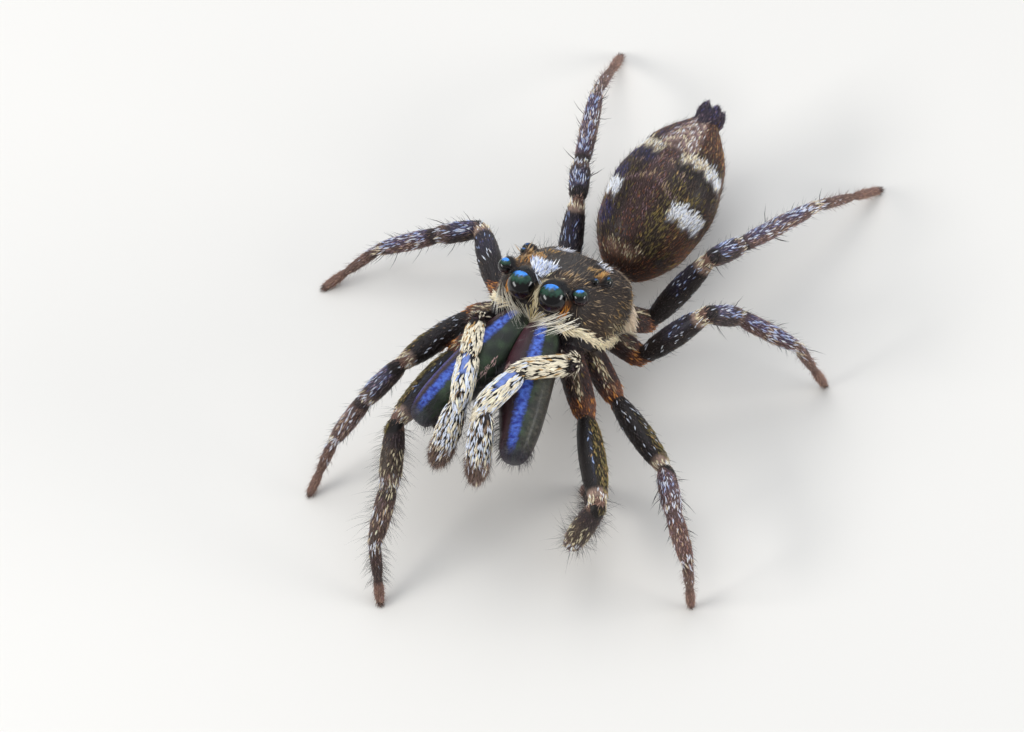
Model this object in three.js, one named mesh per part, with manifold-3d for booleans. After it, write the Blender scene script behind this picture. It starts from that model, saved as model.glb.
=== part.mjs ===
// Male zebra jumping spider, body raised at the front and eight legs set on level ground.
// Millimetres. Body forms are laid out in the carapace's own frame: x to the spider's left,
// y to its rear, z up from the carapace's lower margin, origin at mid-carapace.
import * as THREE from "three";
import { mergeVertices } from "three/addons/utils/BufferGeometryUtils.js";
import Module from "manifold-3d";

const wasm = await Module();
wasm.setup();

// ---------------------------------------------------------------- driving sizes
const PITCH = 37; // degrees the front of the carapace is raised
const RIDE_HEIGHT = 1.46; // carapace origin above the ground
const GAP = 0.024; // clearance where two bodies meet
const FOOT_END = -0.04; // height a foot reaches down to before it is cut flat at ground level
const OVERRUN = 0.85; // how far a limb segment runs past a joint, in radii, before it is cut

const CARAPACE = {
  frontEnd: 7,
  rearEnd: 3,
  section: 4.2,
  taper: 0.1, // share of the width lost from the margin to the top
  // at: distance along the carapace; half: half width; top: height; under: depth
  stations: [
    { at: -1.17, half: 0.75, top: 0.83, under: 0.1 },
    { at: -0.8, half: 0.82, top: 0.9, under: 0.26 },
    { at: -0.33, half: 0.85, top: 0.84, under: 0.36 },
    { at: 0.2, half: 0.86, top: 0.73, under: 0.36 },
    { at: 0.68, half: 0.72, top: 0.52, under: 0.3 },
    { at: 1.1, half: 0.46, top: 0.34, under: 0.16 },
  ],
};

const EYES = [
  { name: "principal", side: 0.25, y: -1.14, z: 0.62, radius: 0.21 },
  { name: "front_lateral", side: 0.605, y: -1.03, z: 0.73, radius: 0.115 },
  { name: "middle_lateral", side: 0.59, y: -0.6, z: 0.82, radius: 0.05 },
  { name: "rear_lateral", side: 0.645, y: -0.35, z: 0.75, radius: 0.088 },
];

const STERNUM = { y: 0, z: -0.36, length: 1.2, width: 0.62, depth: 0.26 };
const ENDITE = { side: 0.2, y: -0.84, z: -0.26, length: 0.46, width: 0.26, depth: 0.26 };
const LABIUM = { y: -0.68, z: -0.33, length: 0.34, width: 0.26, depth: 0.22 };

// The abdomen is laid out over the ground: y to the rear, z up.
const ABDOMEN = {
  front: { x: 0, y: 1.08, z: 0.6 },
  rear: { x: 0.07, y: 3.72, z: 1.17 },
  frontEnd: 2.6,
  rearEnd: 2.2,
  section: 2.15,
  stations: [
    { at: 0, half: 0.6, top: 0.54, under: 0.5 },
    { at: 0.68, half: 0.78, top: 0.7, under: 0.62 },
    { at: 1.35, half: 0.82, top: 0.74, under: 0.64 },
    { at: 2.05, half: 0.72, top: 0.62, under: 0.54 },
    { at: 2.7, half: 0.48, top: 0.4, under: 0.36 },
  ],
};
const PEDICEL = { y: 0.94, z: -0.02, radius: 0.15 };
const SPINNERETS = { length: 0.4, radius: 0.23 };

const CHELICERA = {
  base: { side: 0.21, y: -1.02, z: 0.14 },
  tip: { side: 0.775, y: -2.48, z: -1.31 },
  baseRadius: 0.262,
  endRadius: 0.275,
  bow: 0.015,
  innerEdge: 0.7, // how much fuller the toothed inner edge is, as a share of the radius
  innerEdgeEnd: 0.66, // share of the length where half of that fullness is left
  innerEdgeFade: 0.36, // share of the length over which it fades
  innerEdgeSharpness: 1.5, // above 1 it keeps closer to the inner edge
};
const FANG = { length: 0.85, radius: 0.08, setback: 0.12 };

const PALP = { femurRadius: 0.15, tibiaRadius: 0.165, cymbiumRadius: 0.235 };
// Joints of each palp, from its root to the end of the cymbium.
const PALP_POSE = {
  left: [
    { side: 0.54, y: -1.02, z: -0.1 },
    { side: 0.88, y: -1.38, z: -0.08 },
    { side: 0.4, y: -1.94, z: -0.18 },
    { side: 0.17, y: -2.45, z: -0.66 },
    { side: 0.35, y: -2.57, z: -1.82 },
  ],
  right: [
    { side: 0.54, y: -1.02, z: -0.1 },
    { side: 0.68, y: -1.4, z: -0.03 },
    { side: 0.46, y: -1.92, z: -0.24 },
    { side: 0.2, y: -2.46, z: -0.68 },
    { side: 0.31, y: -2.56, z: -1.83 },
  ],
};

// Lengths of the parts of each leg pair, hip to foot.
const LEG_LENGTHS = {
  1: { coxa: 1.04, femur: 1.56, patella: 0.9, tibia: 0.83, foot: 0.97 },
  2: { coxa: 0.92, femur: 1.38, patella: 0.74, tibia: 0.78, foot: 1.0 },
  3: { coxa: 0.74, femur: 1.36, patella: 0.62, tibia: 0.95, foot: 1.15 },
  4: { coxa: 0.72, femur: 1.46, patella: 0.62, tibia: 1.38, foot: 1.48 },
};
const HIPS = {
  1: { side: 0.44, y: -0.8, z: -0.16 },
  2: { side: 0.5, y: -0.4, z: -0.18 },
  3: { side: 0.48, y: 0.08, z: -0.18 },
  4: { side: 0.4, y: 0.52, z: -0.16 },
};
// Pose in degrees: heading outwards from straight ahead, and lift above level, of the coxa,
// femur, patella and tibia; the foot has a heading only, because it reaches down to the ground.
const POSE = {
  left1: { heading: [44, 38, -44, -169, -132], lift: [-17, 3, -56, -23] },
  left2: { heading: [58, 61, 40, 44, 4], lift: [-28, -3, 2, -10] },
  left3: { heading: [82, 125, 146, 102, 119], lift: [-10, 40, -44, -32] },
  left4: { heading: [138, 138, 165, 159, 162], lift: [-44, 45, -29, -17] },
  right1: { heading: [54, 1, -19, -7, -29], lift: [-33, 13, -29, -35] },
  right2: { heading: [78, 14, 33, 25, 13], lift: [-25, 15, -33, -36] },
  right3: { heading: [87, 137, 59, 59, 40], lift: [-12, -14, -7, -15] },
  right4: { heading: [133, 164, 153, 158, 161], lift: [-64, 29, -7, -7] },
};
const LEG_RADII = {
  1: { coxa: 0.24, femur: 0.265, patella: 0.24, tibia: 0.235, foot: 0.225 },
  2: { coxa: 0.22, femur: 0.25, patella: 0.235, tibia: 0.23, foot: 0.22 },
  3: { coxa: 0.22, femur: 0.25, patella: 0.235, tibia: 0.23, foot: 0.22 },
  4: { coxa: 0.22, femur: 0.255, patella: 0.235, tibia: 0.23, foot: 0.22 },
};

const COLOURS = {
  carapace: { colour: 0x2a211c, roughness: 0.75 },
  eye: { colour: 0x08090b, roughness: 0.08 },
  underside: { colour: 0x4a3222, roughness: 0.7 },
  abdomen: { colour: 0x44301f, roughness: 0.8 },
  jaw: { colour: 0x14172c, roughness: 0.25 },
  fang: { colour: 0x3a1208, roughness: 0.3 },
  palp: { colour: 0xb4ab9c, roughness: 0.8 },
  leg: { colour: 0x3b2e27, roughness: 0.8 },
  foot: { colour: 0x6b4634, roughness: 0.8 },
};

// ---------------------------------------------------------------- frames and curves
const rad = THREE.MathUtils.degToRad;

function fromCarapace(x, y, z) {
  const c = Math.cos(rad(PITCH));
  const s = Math.sin(rad(PITCH));
  return new THREE.Vector3(x, y * c + z * s, -y * s + z * c + RIDE_HEIGHT);
}

function mirrored(place, side) {
  return fromCarapace(side * place.side, place.y, place.z);
}

function heading(degreesOut, degreesUp, side) {
  const level = Math.cos(rad(degreesUp));
  return new THREE.Vector3(
    side * Math.sin(rad(degreesOut)) * level,
    -Math.cos(rad(degreesOut)) * level,
    Math.sin(rad(degreesUp)),
  );
}

// Smooth interpolation through the stations of a body form.
function stationAt(stations, at) {
  const last = stations.length - 1;
  let i = 0;
  while (i < last - 1 && at > stations[i + 1].at) i += 1;
  const a = stations[i];
  const b = stations[i + 1];
  const t = THREE.MathUtils.clamp((at - a.at) / (b.at - a.at), 0, 1);
  const ease = t * t * (3 - 2 * t) * 0.5 + t * 0.5;
  const mix = (key) => a[key] + (b[key] - a[key]) * ease;
  return { half: mix("half"), top: mix("top"), under: mix("under") };
}

function superellipse(cosine, sine, power) {
  const radius = (Math.abs(cosine) ** power + Math.abs(sine) ** power) ** (-1 / power);
  return [cosine * radius, sine * radius];
}

// ---------------------------------------------------------------- solids
function toManifold(geometry) {
  const bare = new THREE.BufferGeometry();
  bare.setAttribute("position", geometry.getAttribute("position"));
  bare.setIndex(geometry.index);
  const merged = mergeVertices(bare, 1e-4);
  return new wasm.Manifold(
    new wasm.Mesh({
      numProp: 3,
      vertProperties: new Float32Array(merged.attributes.position.array),
      triVerts: new Uint32Array(merged.index.array),
    }),
  );
}

// A sphere pulled into shape: place(t, cosine, sine) gives the point of the surface at t from
// -1 to 1 along the form and at an angle round it.
function moulded(around, along, place) {
  const sphere = new THREE.SphereGeometry(1, around, along);
  const position = sphere.getAttribute("position");
  for (let i = 0; i < position.count; i += 1) {
    const t = THREE.MathUtils.clamp(position.getY(i), -1, 1);
    const radius = Math.hypot(position.getX(i), position.getZ(i));
    const pole = radius < 1e-6;
    const cosine = pole ? 1 : position.getX(i) / radius;
    const sine = pole ? 0 : position.getZ(i) / radius;
    const p = place(t, cosine, sine, pole);
    position.setXYZ(i, p.x, p.y, p.z);
  }
  return facingOut(toManifold(sphere), sphere);
}

function facingOut(solid, geometry) {
  if (solid.volume() > 0) return solid;
  const turned = geometry.clone();
  const index = turned.index;
  for (let i = 0; i < index.count; i += 3) {
    const b = index.getX(i + 1);
    index.setX(i + 1, index.getX(i + 2));
    index.setX(i + 2, b);
  }
  return toManifold(turned);
}

// A body form with stations along it; toWorld takes (x, distance along, z) of the form.
function body(form, around, along, toWorld, grow) {
  const start = form.stations[0].at;
  const length = form.stations[form.stations.length - 1].at - start;
  return moulded(around, along, (t, cosine, sine, pole) => {
    const end = t < 0 ? form.frontEnd : form.rearEnd;
    const fullness = pole ? 0 : (1 - Math.abs(t) ** end) ** (1 / end);
    const at = start + (length * (t + 1)) / 2;
    const section = stationAt(form.stations, at);
    const [c, s] = superellipse(cosine, sine, form.section);
    const height = (s > 0 ? section.top : section.under) + grow;
    const stretch = grow * Math.sign(t) * Math.abs(t) ** 4;
    const z = s * fullness * height;
    const width = 1 - ((form.taper || 0) * z) / section.top;
    return toWorld(c * fullness * width * (section.half + grow), at + stretch, z);
  });
}

// A limb segment from a to b: radius swells between the ends; box above 2 gives blunter ends;
// fuller gives a factor on the radius from the share along and the direction towards up.
function segment(a, b, shape) {
  const axis = new THREE.Vector3().subVectors(b, a);
  const length = axis.length();
  axis.normalize();
  const up = shape.up ? shape.up.clone() : new THREE.Vector3(0, 0, 1);
  const side = new THREE.Vector3().crossVectors(axis, up).normalize();
  const top = new THREE.Vector3().crossVectors(side, axis).normalize();
  const grow = shape.grow || 0;
  const box = shape.box || 3;
  const flat = shape.flat || 1;
  return moulded(shape.around || 8, shape.along || 6, (t, cosine, sine, pole) => {
    const fullness = pole ? 0 : (1 - Math.abs(t) ** box) ** (1 / box);
    const f = (t + 1) / 2;
    const taper = shape.start + (shape.end - shape.start) * f;
    const belly = 1 + (shape.belly || 0) * Math.sin(Math.PI * f);
    const fuller = shape.fuller ? shape.fuller(f, sine) : 1;
    const radius = (taper * belly * fuller + grow) * fullness;
    const bow = (shape.bow || 0) * Math.sin(Math.PI * f);
    const p = a.clone().addScaledVector(axis, f * length + grow * Math.sign(t) * Math.abs(t) ** 4);
    p.addScaledVector(side, cosine * radius * flat);
    p.addScaledVector(top, sine * radius + bow);
    return p;
  });
}

function ball(centre, radius, around, along) {
  const sphere = new THREE.SphereGeometry(radius, around, along);
  sphere.translate(centre.x, centre.y, centre.z);
  return toManifold(sphere);
}

// What is left of a solid on the side of a plane away from the normal.
function cutAt(solid, point, normal) {
  const size = 12;
  const box = new THREE.BoxGeometry(size, size, size);
  box.translate(0, 0, size / 2);
  const turn = new THREE.Quaternion().setFromUnitVectors(new THREE.Vector3(0, 0, 1), normal);
  box.applyQuaternion(turn);
  box.translate(point.x, point.y, point.z);
  return solid.subtract(toManifold(box));
}

function largest(solid) {
  const bodies = solid.decompose();
  bodies.sort((p, q) => q.volume() - p.volume());
  return bodies[0];
}

// ---------------------------------------------------------------- assembly
const root = new THREE.Group();
root.name = "jumping_spider";
const placed = [];

// Adds a body, cut back from every body already placed; grown is the body with its clearance.
function add(name, solid, grown, look) {
  let trimmed = solid;
  for (const other of placed) {
    if (trimmed.intersect(other).volume() > 0) trimmed = trimmed.subtract(other);
  }
  trimmed = largest(trimmed);
  placed.push(grown);
  const mesh = trimmed.getMesh();
  const stride = mesh.numProp;
  const points = new Float32Array(mesh.numVert * 3);
  for (let i = 0; i < mesh.numVert; i += 1) {
    points.set(mesh.vertProperties.subarray(i * stride, i * stride + 3), i * 3);
  }
  const geometry = new THREE.BufferGeometry();
  geometry.setAttribute("position", new THREE.BufferAttribute(points, 3));
  geometry.setIndex(new THREE.BufferAttribute(new Uint32Array(mesh.triVerts), 1));
  geometry.computeVertexNormals();
  const material = new THREE.MeshStandardMaterial({
    color: look.colour,
    roughness: look.roughness,
    metalness: 0,
  });
  const part = new THREE.Mesh(geometry, material);
  part.name = name;
  root.add(part);
}

const SIDES = [
  { name: "left", sign: 1 },
  { name: "right", sign: -1 },
];

for (const eye of EYES) {
  for (const side of SIDES) {
    const centre = fromCarapace(side.sign * eye.side, eye.y, eye.z);
    const fine = eye.radius > 0.2 ? 10 : 8;
    const lens = ball(centre, eye.radius, fine, fine - 2);
    const socket = ball(centre, eye.radius + GAP, fine, fine - 2);
    add(`eye_${eye.name}_${side.name}`, lens, socket, COLOURS.eye);
  }
}

const carapace = (grow) => body(CARAPACE, 20, 15, fromCarapace, grow);
add("carapace", carapace(0), carapace(GAP), COLOURS.carapace);

// Oval plate or lobe under the carapace, level with its margin.
function lobe(place, side, grow) {
  return moulded(8, 6, (t, cosine, sine) => {
    const ring = Math.sqrt(Math.max(0, 1 - t * t));
    return fromCarapace(
      side * (place.side || 0) + cosine * ring * (place.width / 2 + grow),
      place.y + t * (place.length / 2 + grow),
      place.z + sine * ring * (place.depth / 2 + grow),
    );
  });
}

function mouthparts(grow) {
  const lobes = SIDES.map((side) => lobe(ENDITE, side.sign, grow));
  return lobes.reduce((sum, next) => sum.add(next), lobe(LABIUM, 1, grow));
}

const sternum = (grow) => lobe(STERNUM, 1, grow).add(mouthparts(grow));
add("sternum", sternum(0), sternum(GAP), COLOURS.underside);

const abdomenFront = new THREE.Vector3().copy(ABDOMEN.front);
const abdomenRear = new THREE.Vector3().copy(ABDOMEN.rear);
const abdomenAxis = abdomenRear.clone().sub(abdomenFront).normalize();
const abdomenSide = new THREE.Vector3(abdomenAxis.y, -abdomenAxis.x, 0).normalize();
const abdomenUp = new THREE.Vector3().crossVectors(abdomenSide, abdomenAxis);

function fromAbdomen(x, along, z) {
  const p = abdomenFront.clone().addScaledVector(abdomenAxis, along);
  return p.addScaledVector(abdomenUp, z).addScaledVector(abdomenSide, x);
}

const abdomen = (grow) => body(ABDOMEN, 18, 15, fromAbdomen, grow);
add("abdomen", abdomen(0), abdomen(GAP), COLOURS.abdomen);

const waist = fromCarapace(0, PEDICEL.y, PEDICEL.z);
const stalkEnd = fromAbdomen(0, 0.2, 0);
const stalk = (grow) => {
  const radius = PEDICEL.radius;
  return segment(waist, stalkEnd, { start: radius, end: radius, box: 4, along: 5, grow });
};
add("pedicel", stalk(0), stalk(GAP), COLOURS.underside);

const spinneretBase = fromAbdomen(0, ABDOMEN.stations[4].at - 0.2, 0.02);
const spinneretEnd = fromAbdomen(0, ABDOMEN.stations[4].at + SPINNERETS.length / 2, 0.05);
const spinnerets = (grow) =>
  segment(spinneretBase, spinneretEnd, {
    start: SPINNERETS.radius * 1.2,
    end: SPINNERETS.radius * 0.8,
    along: 5,
    grow,
  });
add("spinnerets", spinnerets(0), spinnerets(GAP), COLOURS.underside);

// The toothed inner edge of a chelicera stands out from its base to past its middle.
function innerEdge(f, outward) {
  const past = (CHELICERA.innerEdgeEnd - f) / CHELICERA.innerEdgeFade;
  const left = THREE.MathUtils.clamp(past + 0.5, 0, 1);
  return 1 + CHELICERA.innerEdge * Math.max(0, -outward) ** CHELICERA.innerEdgeSharpness * left;
}

for (const side of SIDES) {
  const base = mirrored(CHELICERA.base, side.sign);
  const tip = mirrored(CHELICERA.tip, side.sign);
  const outward = new THREE.Vector3(side.sign, 0, 0);
  const jaw = (grow) =>
    segment(base, tip, {
      start: CHELICERA.baseRadius,
      end: CHELICERA.endRadius,
      belly: 0.04,
      bow: CHELICERA.bow,
      box: 3.4,
      around: 11,
      along: 8,
      up: outward,
      fuller: innerEdge,
      grow,
    });
  const middle = new THREE.Vector3((side.sign * GAP) / 2, 0, 0);
  const parted = (grow) => cutAt(jaw(grow), middle, outward.clone().negate());
  add(`chelicera_${side.name}`, parted(0), parted(GAP), COLOURS.jaw);
}

// The fang lies folded back along the inner underside of its chelicera.
for (const side of SIDES) {
  const base = mirrored(CHELICERA.base, side.sign);
  const tip = mirrored(CHELICERA.tip, side.sign);
  const along = tip.clone().sub(base).normalize();
  const inward = new THREE.Vector3(-side.sign, 0, 0);
  const under = new THREE.Vector3().crossVectors(inward, along);
  under.multiplyScalar(-Math.sign(under.z)).normalize();
  const seat = inward.multiplyScalar(0.6).addScaledVector(under, 0.8);
  const hinge = tip.clone().addScaledVector(along, -FANG.setback);
  hinge.addScaledVector(seat, CHELICERA.endRadius + 0.02);
  const point = hinge.clone().addScaledVector(along, -FANG.length);
  const fang = (grow) =>
    segment(hinge, point, { start: FANG.radius * 1.3, end: FANG.radius * 0.5, along: 5, grow });
  add(`fang_${side.name}`, fang(0), fang(GAP), COLOURS.fang);
}

// A limb segment that runs on past both of its joints, to be cut back on the joints' planes.
function link(name, from, to, shape, look) {
  const direction = to.clone().sub(from).normalize();
  const near = from.clone().addScaledVector(direction, -shape.start * OVERRUN);
  const far = to.clone().addScaledVector(direction, shape.end * (shape.blunt ? 0 : OVERRUN));
  const make = (grow) => segment(near, far, { ...shape, grow });
  return { name, from, to, enter: direction, leave: direction, make, look };
}

// Two links that stay one body, such as a patella and tibia.
function fused(name, first, second) {
  const make = (grow) => first.make(grow).add(second.make(grow));
  const { look } = first;
  const { from, enter } = first;
  const { to, leave } = second;
  return { name, from, to, enter, leave, make, look };
}

// Adds a chain of links; neighbours are cut on the plane that halves the bend between them.
function addChain(links) {
  links.forEach((item, i) => {
    const cuts = [];
    if (links[i - 1]) {
      const bend = links[i - 1].leave.clone().add(item.enter).normalize();
      cuts.push({ point: item.from, normal: bend.negate() });
    }
    if (links[i + 1]) {
      const bend = item.leave.clone().add(links[i + 1].enter).normalize();
      cuts.push({ point: item.to, normal: bend });
    }
    const cutBack = (solid, clearance) =>
      cuts.reduce((rest, cut) => {
        const point = cut.point.clone().addScaledVector(cut.normal, -clearance);
        return cutAt(rest, point, cut.normal);
      }, solid);
    const finish = item.finish || ((solid) => solid);
    add(item.name, finish(cutBack(item.make(0), GAP / 2)), cutBack(item.make(GAP), 0), item.look);
  });
}

for (const side of SIDES) {
  const joints = PALP_POSE[side.name].map((place) => mirrored(place, side.sign));
  const [shoulder, knee, elbow, wrist, tip] = joints;
  const femur = { start: PALP.femurRadius, end: PALP.femurRadius, along: 5 };
  const patella = { start: PALP.tibiaRadius * 0.95, end: PALP.tibiaRadius, along: 4 };
  const tibia = { start: PALP.tibiaRadius, end: PALP.tibiaRadius, belly: 0.1, along: 4 };
  const cymbium = { start: PALP.tibiaRadius, end: PALP.tibiaRadius, box: 2.6, blunt: true };
  cymbium.belly = PALP.cymbiumRadius / PALP.tibiaRadius - 1;
  const upper = link("", knee, elbow, patella, COLOURS.palp);
  const lower = link("", elbow, wrist, tibia, COLOURS.palp);
  addChain([
    link(`palp_femur_${side.name}`, shoulder, knee, femur, COLOURS.palp),
    fused(`palp_tibia_${side.name}`, upper, lower),
    link(`palp_cymbium_${side.name}`, wrist, tip, cymbium, COLOURS.palp),
  ]);
}

// Joints of a leg from hip to foot, the foot reaching down to the ground.
function legJoints(side, pair) {
  const lengths = Object.values(LEG_LENGTHS[pair]);
  const pose = POSE[`${side.name}${pair}`];
  const joints = [mirrored(HIPS[pair], side.sign)];
  lengths.forEach((length, i) => {
    const from = joints[i];
    const reach = (FOOT_END - from.z) / length;
    const lift = i < pose.lift.length ? pose.lift[i] : THREE.MathUtils.radToDeg(Math.asin(reach));
    joints.push(from.clone().addScaledVector(heading(pose.heading[i], lift, side.sign), length));
  });
  return joints;
}

const GROUND = new THREE.Vector3(0, 0, 0);
const DOWN = new THREE.Vector3(0, 0, -1);

function addLeg(side, pair) {
  const [hip, second, knee, shin, ankle, toe] = legJoints(side, pair);
  const r = LEG_RADII[pair];
  const tag = `${pair}_${side.name}`;
  const coxa = { start: r.coxa, end: r.coxa * 0.95, along: 5 };
  const femur = { start: r.femur * 0.82, end: r.femur * 0.88, belly: 0.16 };
  const patella = { start: r.patella * 0.9, end: r.patella, belly: 0.04, along: 5 };
  const tibia = { start: r.patella, end: r.tibia, along: 5 };
  const foot = { start: r.foot, end: r.foot * 0.72, blunt: true };
  const upper = link("", knee, shin, patella, COLOURS.leg);
  const lower = link("", shin, ankle, tibia, COLOURS.leg);
  const sole = link(`foot_${tag}`, ankle, toe, foot, COLOURS.foot);
  sole.finish = (solid) => cutAt(solid, GROUND, DOWN);
  addChain([
    link(`coxa_${tag}`, hip, second, coxa, COLOURS.leg),
    link(`femur_${tag}`, second, knee, femur, COLOURS.leg),
    fused(`tibia_${tag}`, upper, lower),
    sole,
  ]);
}

for (const pair of [1, 2, 3, 4]) {
  for (const side of SIDES) addLeg(side, pair);
}

// Ground level is z = 0; the model is centred over it.
const extent = new THREE.Box3().setFromObject(root);
const centre = extent.getCenter(new THREE.Vector3());
root.position.set(-centre.x, -centre.y, -extent.min.z);

export default root;
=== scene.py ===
"""Looks of a male zebra jumping spider: skin, scale coat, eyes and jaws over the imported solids.

Shapes are worked out in millimetres and turned into metres as their meshes are made.
"""

import math

import bpy
import numpy as np
from mathutils import Matrix, Vector


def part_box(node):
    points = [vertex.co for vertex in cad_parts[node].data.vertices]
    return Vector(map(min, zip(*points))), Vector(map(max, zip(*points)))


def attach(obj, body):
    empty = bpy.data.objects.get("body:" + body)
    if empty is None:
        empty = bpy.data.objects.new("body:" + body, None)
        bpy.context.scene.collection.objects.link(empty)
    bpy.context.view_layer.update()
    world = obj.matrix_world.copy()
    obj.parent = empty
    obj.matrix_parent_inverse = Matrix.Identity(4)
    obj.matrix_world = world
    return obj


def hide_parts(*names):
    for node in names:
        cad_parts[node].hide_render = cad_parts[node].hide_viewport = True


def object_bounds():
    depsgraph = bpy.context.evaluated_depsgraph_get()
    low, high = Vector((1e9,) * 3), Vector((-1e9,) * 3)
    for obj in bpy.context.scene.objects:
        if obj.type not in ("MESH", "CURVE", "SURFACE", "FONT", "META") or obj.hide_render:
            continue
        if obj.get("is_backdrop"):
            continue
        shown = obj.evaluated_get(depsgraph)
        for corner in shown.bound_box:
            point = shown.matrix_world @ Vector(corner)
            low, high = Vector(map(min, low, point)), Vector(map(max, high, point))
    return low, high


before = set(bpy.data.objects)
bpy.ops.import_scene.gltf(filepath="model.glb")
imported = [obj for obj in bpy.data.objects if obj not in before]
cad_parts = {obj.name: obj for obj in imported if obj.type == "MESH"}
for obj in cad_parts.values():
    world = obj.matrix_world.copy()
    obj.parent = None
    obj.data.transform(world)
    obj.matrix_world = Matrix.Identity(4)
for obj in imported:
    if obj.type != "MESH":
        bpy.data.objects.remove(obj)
CAD_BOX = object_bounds()
MM = 0.001
TURN = 2 * math.pi
rng = np.random.default_rng(7)

# ---- driving sizes, mm
PITCH = math.radians(37)  # the front of the carapace is raised by this
RIDE_HEIGHT = 1.46  # carapace origin above the ground
FOOT_END = -0.04  # height the solid feet aim at before they are cut at the ground
VOXEL = 0.026  # mesh size of the skin

# at, half width, top, under
CARAPACE_STATIONS = [
    (-1.17, 0.75, 0.83, 0.1),
    (-0.8, 0.82, 0.9, 0.26),
    (-0.33, 0.85, 0.84, 0.36),
    (0.2, 0.86, 0.73, 0.36),
    (0.68, 0.72, 0.52, 0.3),
    (1.1, 0.46, 0.34, 0.16),
]
CARAPACE_TAPER = 0.1  # share of the width lost from the margin to the top
MARGIN_LINE = [
    (-1.14, 0.26), (-1.0, 0.2), (-0.8, 0.06), (-0.5, -0.08), (-0.3, -0.11),
    (-0.1, -0.1), (0.05, -0.04), (0.2, 0.02), (0.4, 0.07), (0.6, 0.1),
]
ABDOMEN_STATIONS = [
    (0, 0.6, 0.54, 0.5),
    (0.68, 0.78, 0.7, 0.62),
    (1.35, 0.82, 0.74, 0.64),
    (2.05, 0.72, 0.62, 0.54),
    (2.7, 0.48, 0.4, 0.36),
]
ABDOMEN_FRONT = (0, 1.08, 0.6)
ABDOMEN_REAR = (0.07, 3.72, 1.17)
COAT_DEPTH = {"carapace": 0.03, "abdomen": 0.045}

# side, y, z, radius, heading outwards and lift of the way it looks, in degrees
EYES = {
    "principal": (0.25, -1.14, 0.62, 0.21, 4, 0),
    "front_lateral": (0.605, -1.03, 0.73, 0.115, 22, 8),
    "middle_lateral": (0.59, -0.6, 0.82, 0.05, 70, 30),
    "rear_lateral": (0.645, -0.35, 0.75, 0.088, 100, 30),
}
CHELICERA = {
    "base": (0.21, -1.02, 0.14),
    "tip": (0.775, -2.48, -1.31),
    "radii": (0.262, 0.275),
    "bow": 0.015,
}
JAW_INNER_BULGE = 0.68  # extra share of the radius on the inner side near the base
JAW_GAP = 0.003  # from the midline to the inner edge of each jaw where they nearly meet
# depth of the mound's middle behind the lens and its size, in radii of the lens
EYE_SEATS = {"middle_lateral": (0.8, 1.5), "rear_lateral": (0.5, 1.36)}
EYE_REFLECTION_FACING = (-0.18, 0.54, 0.82)  # the way the painted sky reflection on each lens faces
FANG = {"length": 0.85, "radius": 0.075, "setback": 0.12}
# root, knee, elbow, wrist and tip
PALP_ROOT = (0.54, -1.02, -0.1)
PALP_JOINTS = {
    "left": [PALP_ROOT, (0.88, -1.38, -0.08), (0.4, -1.94, -0.18), (0.17, -2.45, -0.66), (0.35, -2.57, -1.82)],
    "right": [PALP_ROOT, (0.68, -1.4, -0.03), (0.46, -1.92, -0.24), (0.2, -2.46, -0.68), (0.31, -2.56, -1.83)],
}
# coxa, femur, patella, tibia, foot
LEG_LENGTHS = {
    1: (1.04, 1.56, 0.9, 0.83, 0.97),
    2: (0.92, 1.38, 0.74, 0.78, 1.0),
    3: (0.74, 1.36, 0.62, 0.95, 1.15),
    4: (0.72, 1.46, 0.62, 1.38, 1.48),
}
HIPS = {1: (0.44, -0.8, -0.16), 2: (0.5, -0.4, -0.18), 3: (0.48, 0.08, -0.18), 4: (0.4, 0.52, -0.16)}
# heading outwards of coxa, femur, patella, tibia and foot; lift of the first four
POSE = {
    ("left", 1): ((44, 38, -44, -169, -132), (-17, 3, -56, -23)),
    ("left", 2): ((58, 61, 40, 44, 4), (-28, -3, 2, -10)),
    ("left", 3): ((82, 125, 146, 102, 119), (-10, 40, -44, -32)),
    ("left", 4): ((138, 138, 165, 159, 162), (-44, 45, -29, -17)),
    ("right", 1): ((54, 1, -19, -7, -29), (-33, 13, -29, -35)),
    ("right", 2): ((78, 14, 33, 25, 13), (-25, 15, -33, -36)),
    ("right", 3): ((87, 137, 59, 59, 40), (-12, -14, -7, -15)),
    ("right", 4): ((133, 164, 153, 158, 161), (-64, 29, -7, -7)),
}
SIDES = {"left": 1, "right": -1}

# flesh radii along each leg part: start, end, swelling between them
LEG_FLESH = {
    "coxa": (0.18, 0.168, 0.04),
    "femur": (0.135, 0.135, 0.27),
    "patella": (0.128, 0.14, 0.08),
    "tibia": (0.125, 0.102, 0.08),
    "metatarsus": (0.08, 0.065, 0.04),
    "tarsus": (0.062, 0.056, 0.1),
}
FRONT_LEG_SCALE = 1.1
GROUPS = {
    "carapace": ("carapace",),
    "abdomen": ("abdomen", "spinneret", "pedicel"),
    "legs": ("coxa", "femur", "patella", "tibia"),
    "feet": ("metatarsus", "tarsus"),
    "palps": ("palpfemur", "palppatella", "palptibia", "cymbium"),
}
SLOTS = {
    "carapace": "carapace_coat",
    "abdomen": "abdomen_coat",
    "legs": "leg_scales",
    "feet": "foot_bristles",
    "palps": "palp_scales",
}
# scales: chance that a place grows one, length, width, lift in degrees
COATS = {
    "carapace": (0.5, 0.075, 0.009, 4),
    "abdomen": (0.85, 0.065, 0.011, 5),
    "legs": (0.6, 0.07, 0.011, 5),
    "feet": (0.6, 0.06, 0.008, 8),
}
SCALE_SPACING, PLATE_SPACING = 0.024, 0.043
METATARSUS_SHARE = 0.56  # of the foot's length
TOE_RADIUS = 0.015


# ---- frames
def unit(v):
    v = np.asarray(v, float)
    return v / np.maximum(np.linalg.norm(v, axis=-1, keepdims=True), 1e-12)


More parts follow.
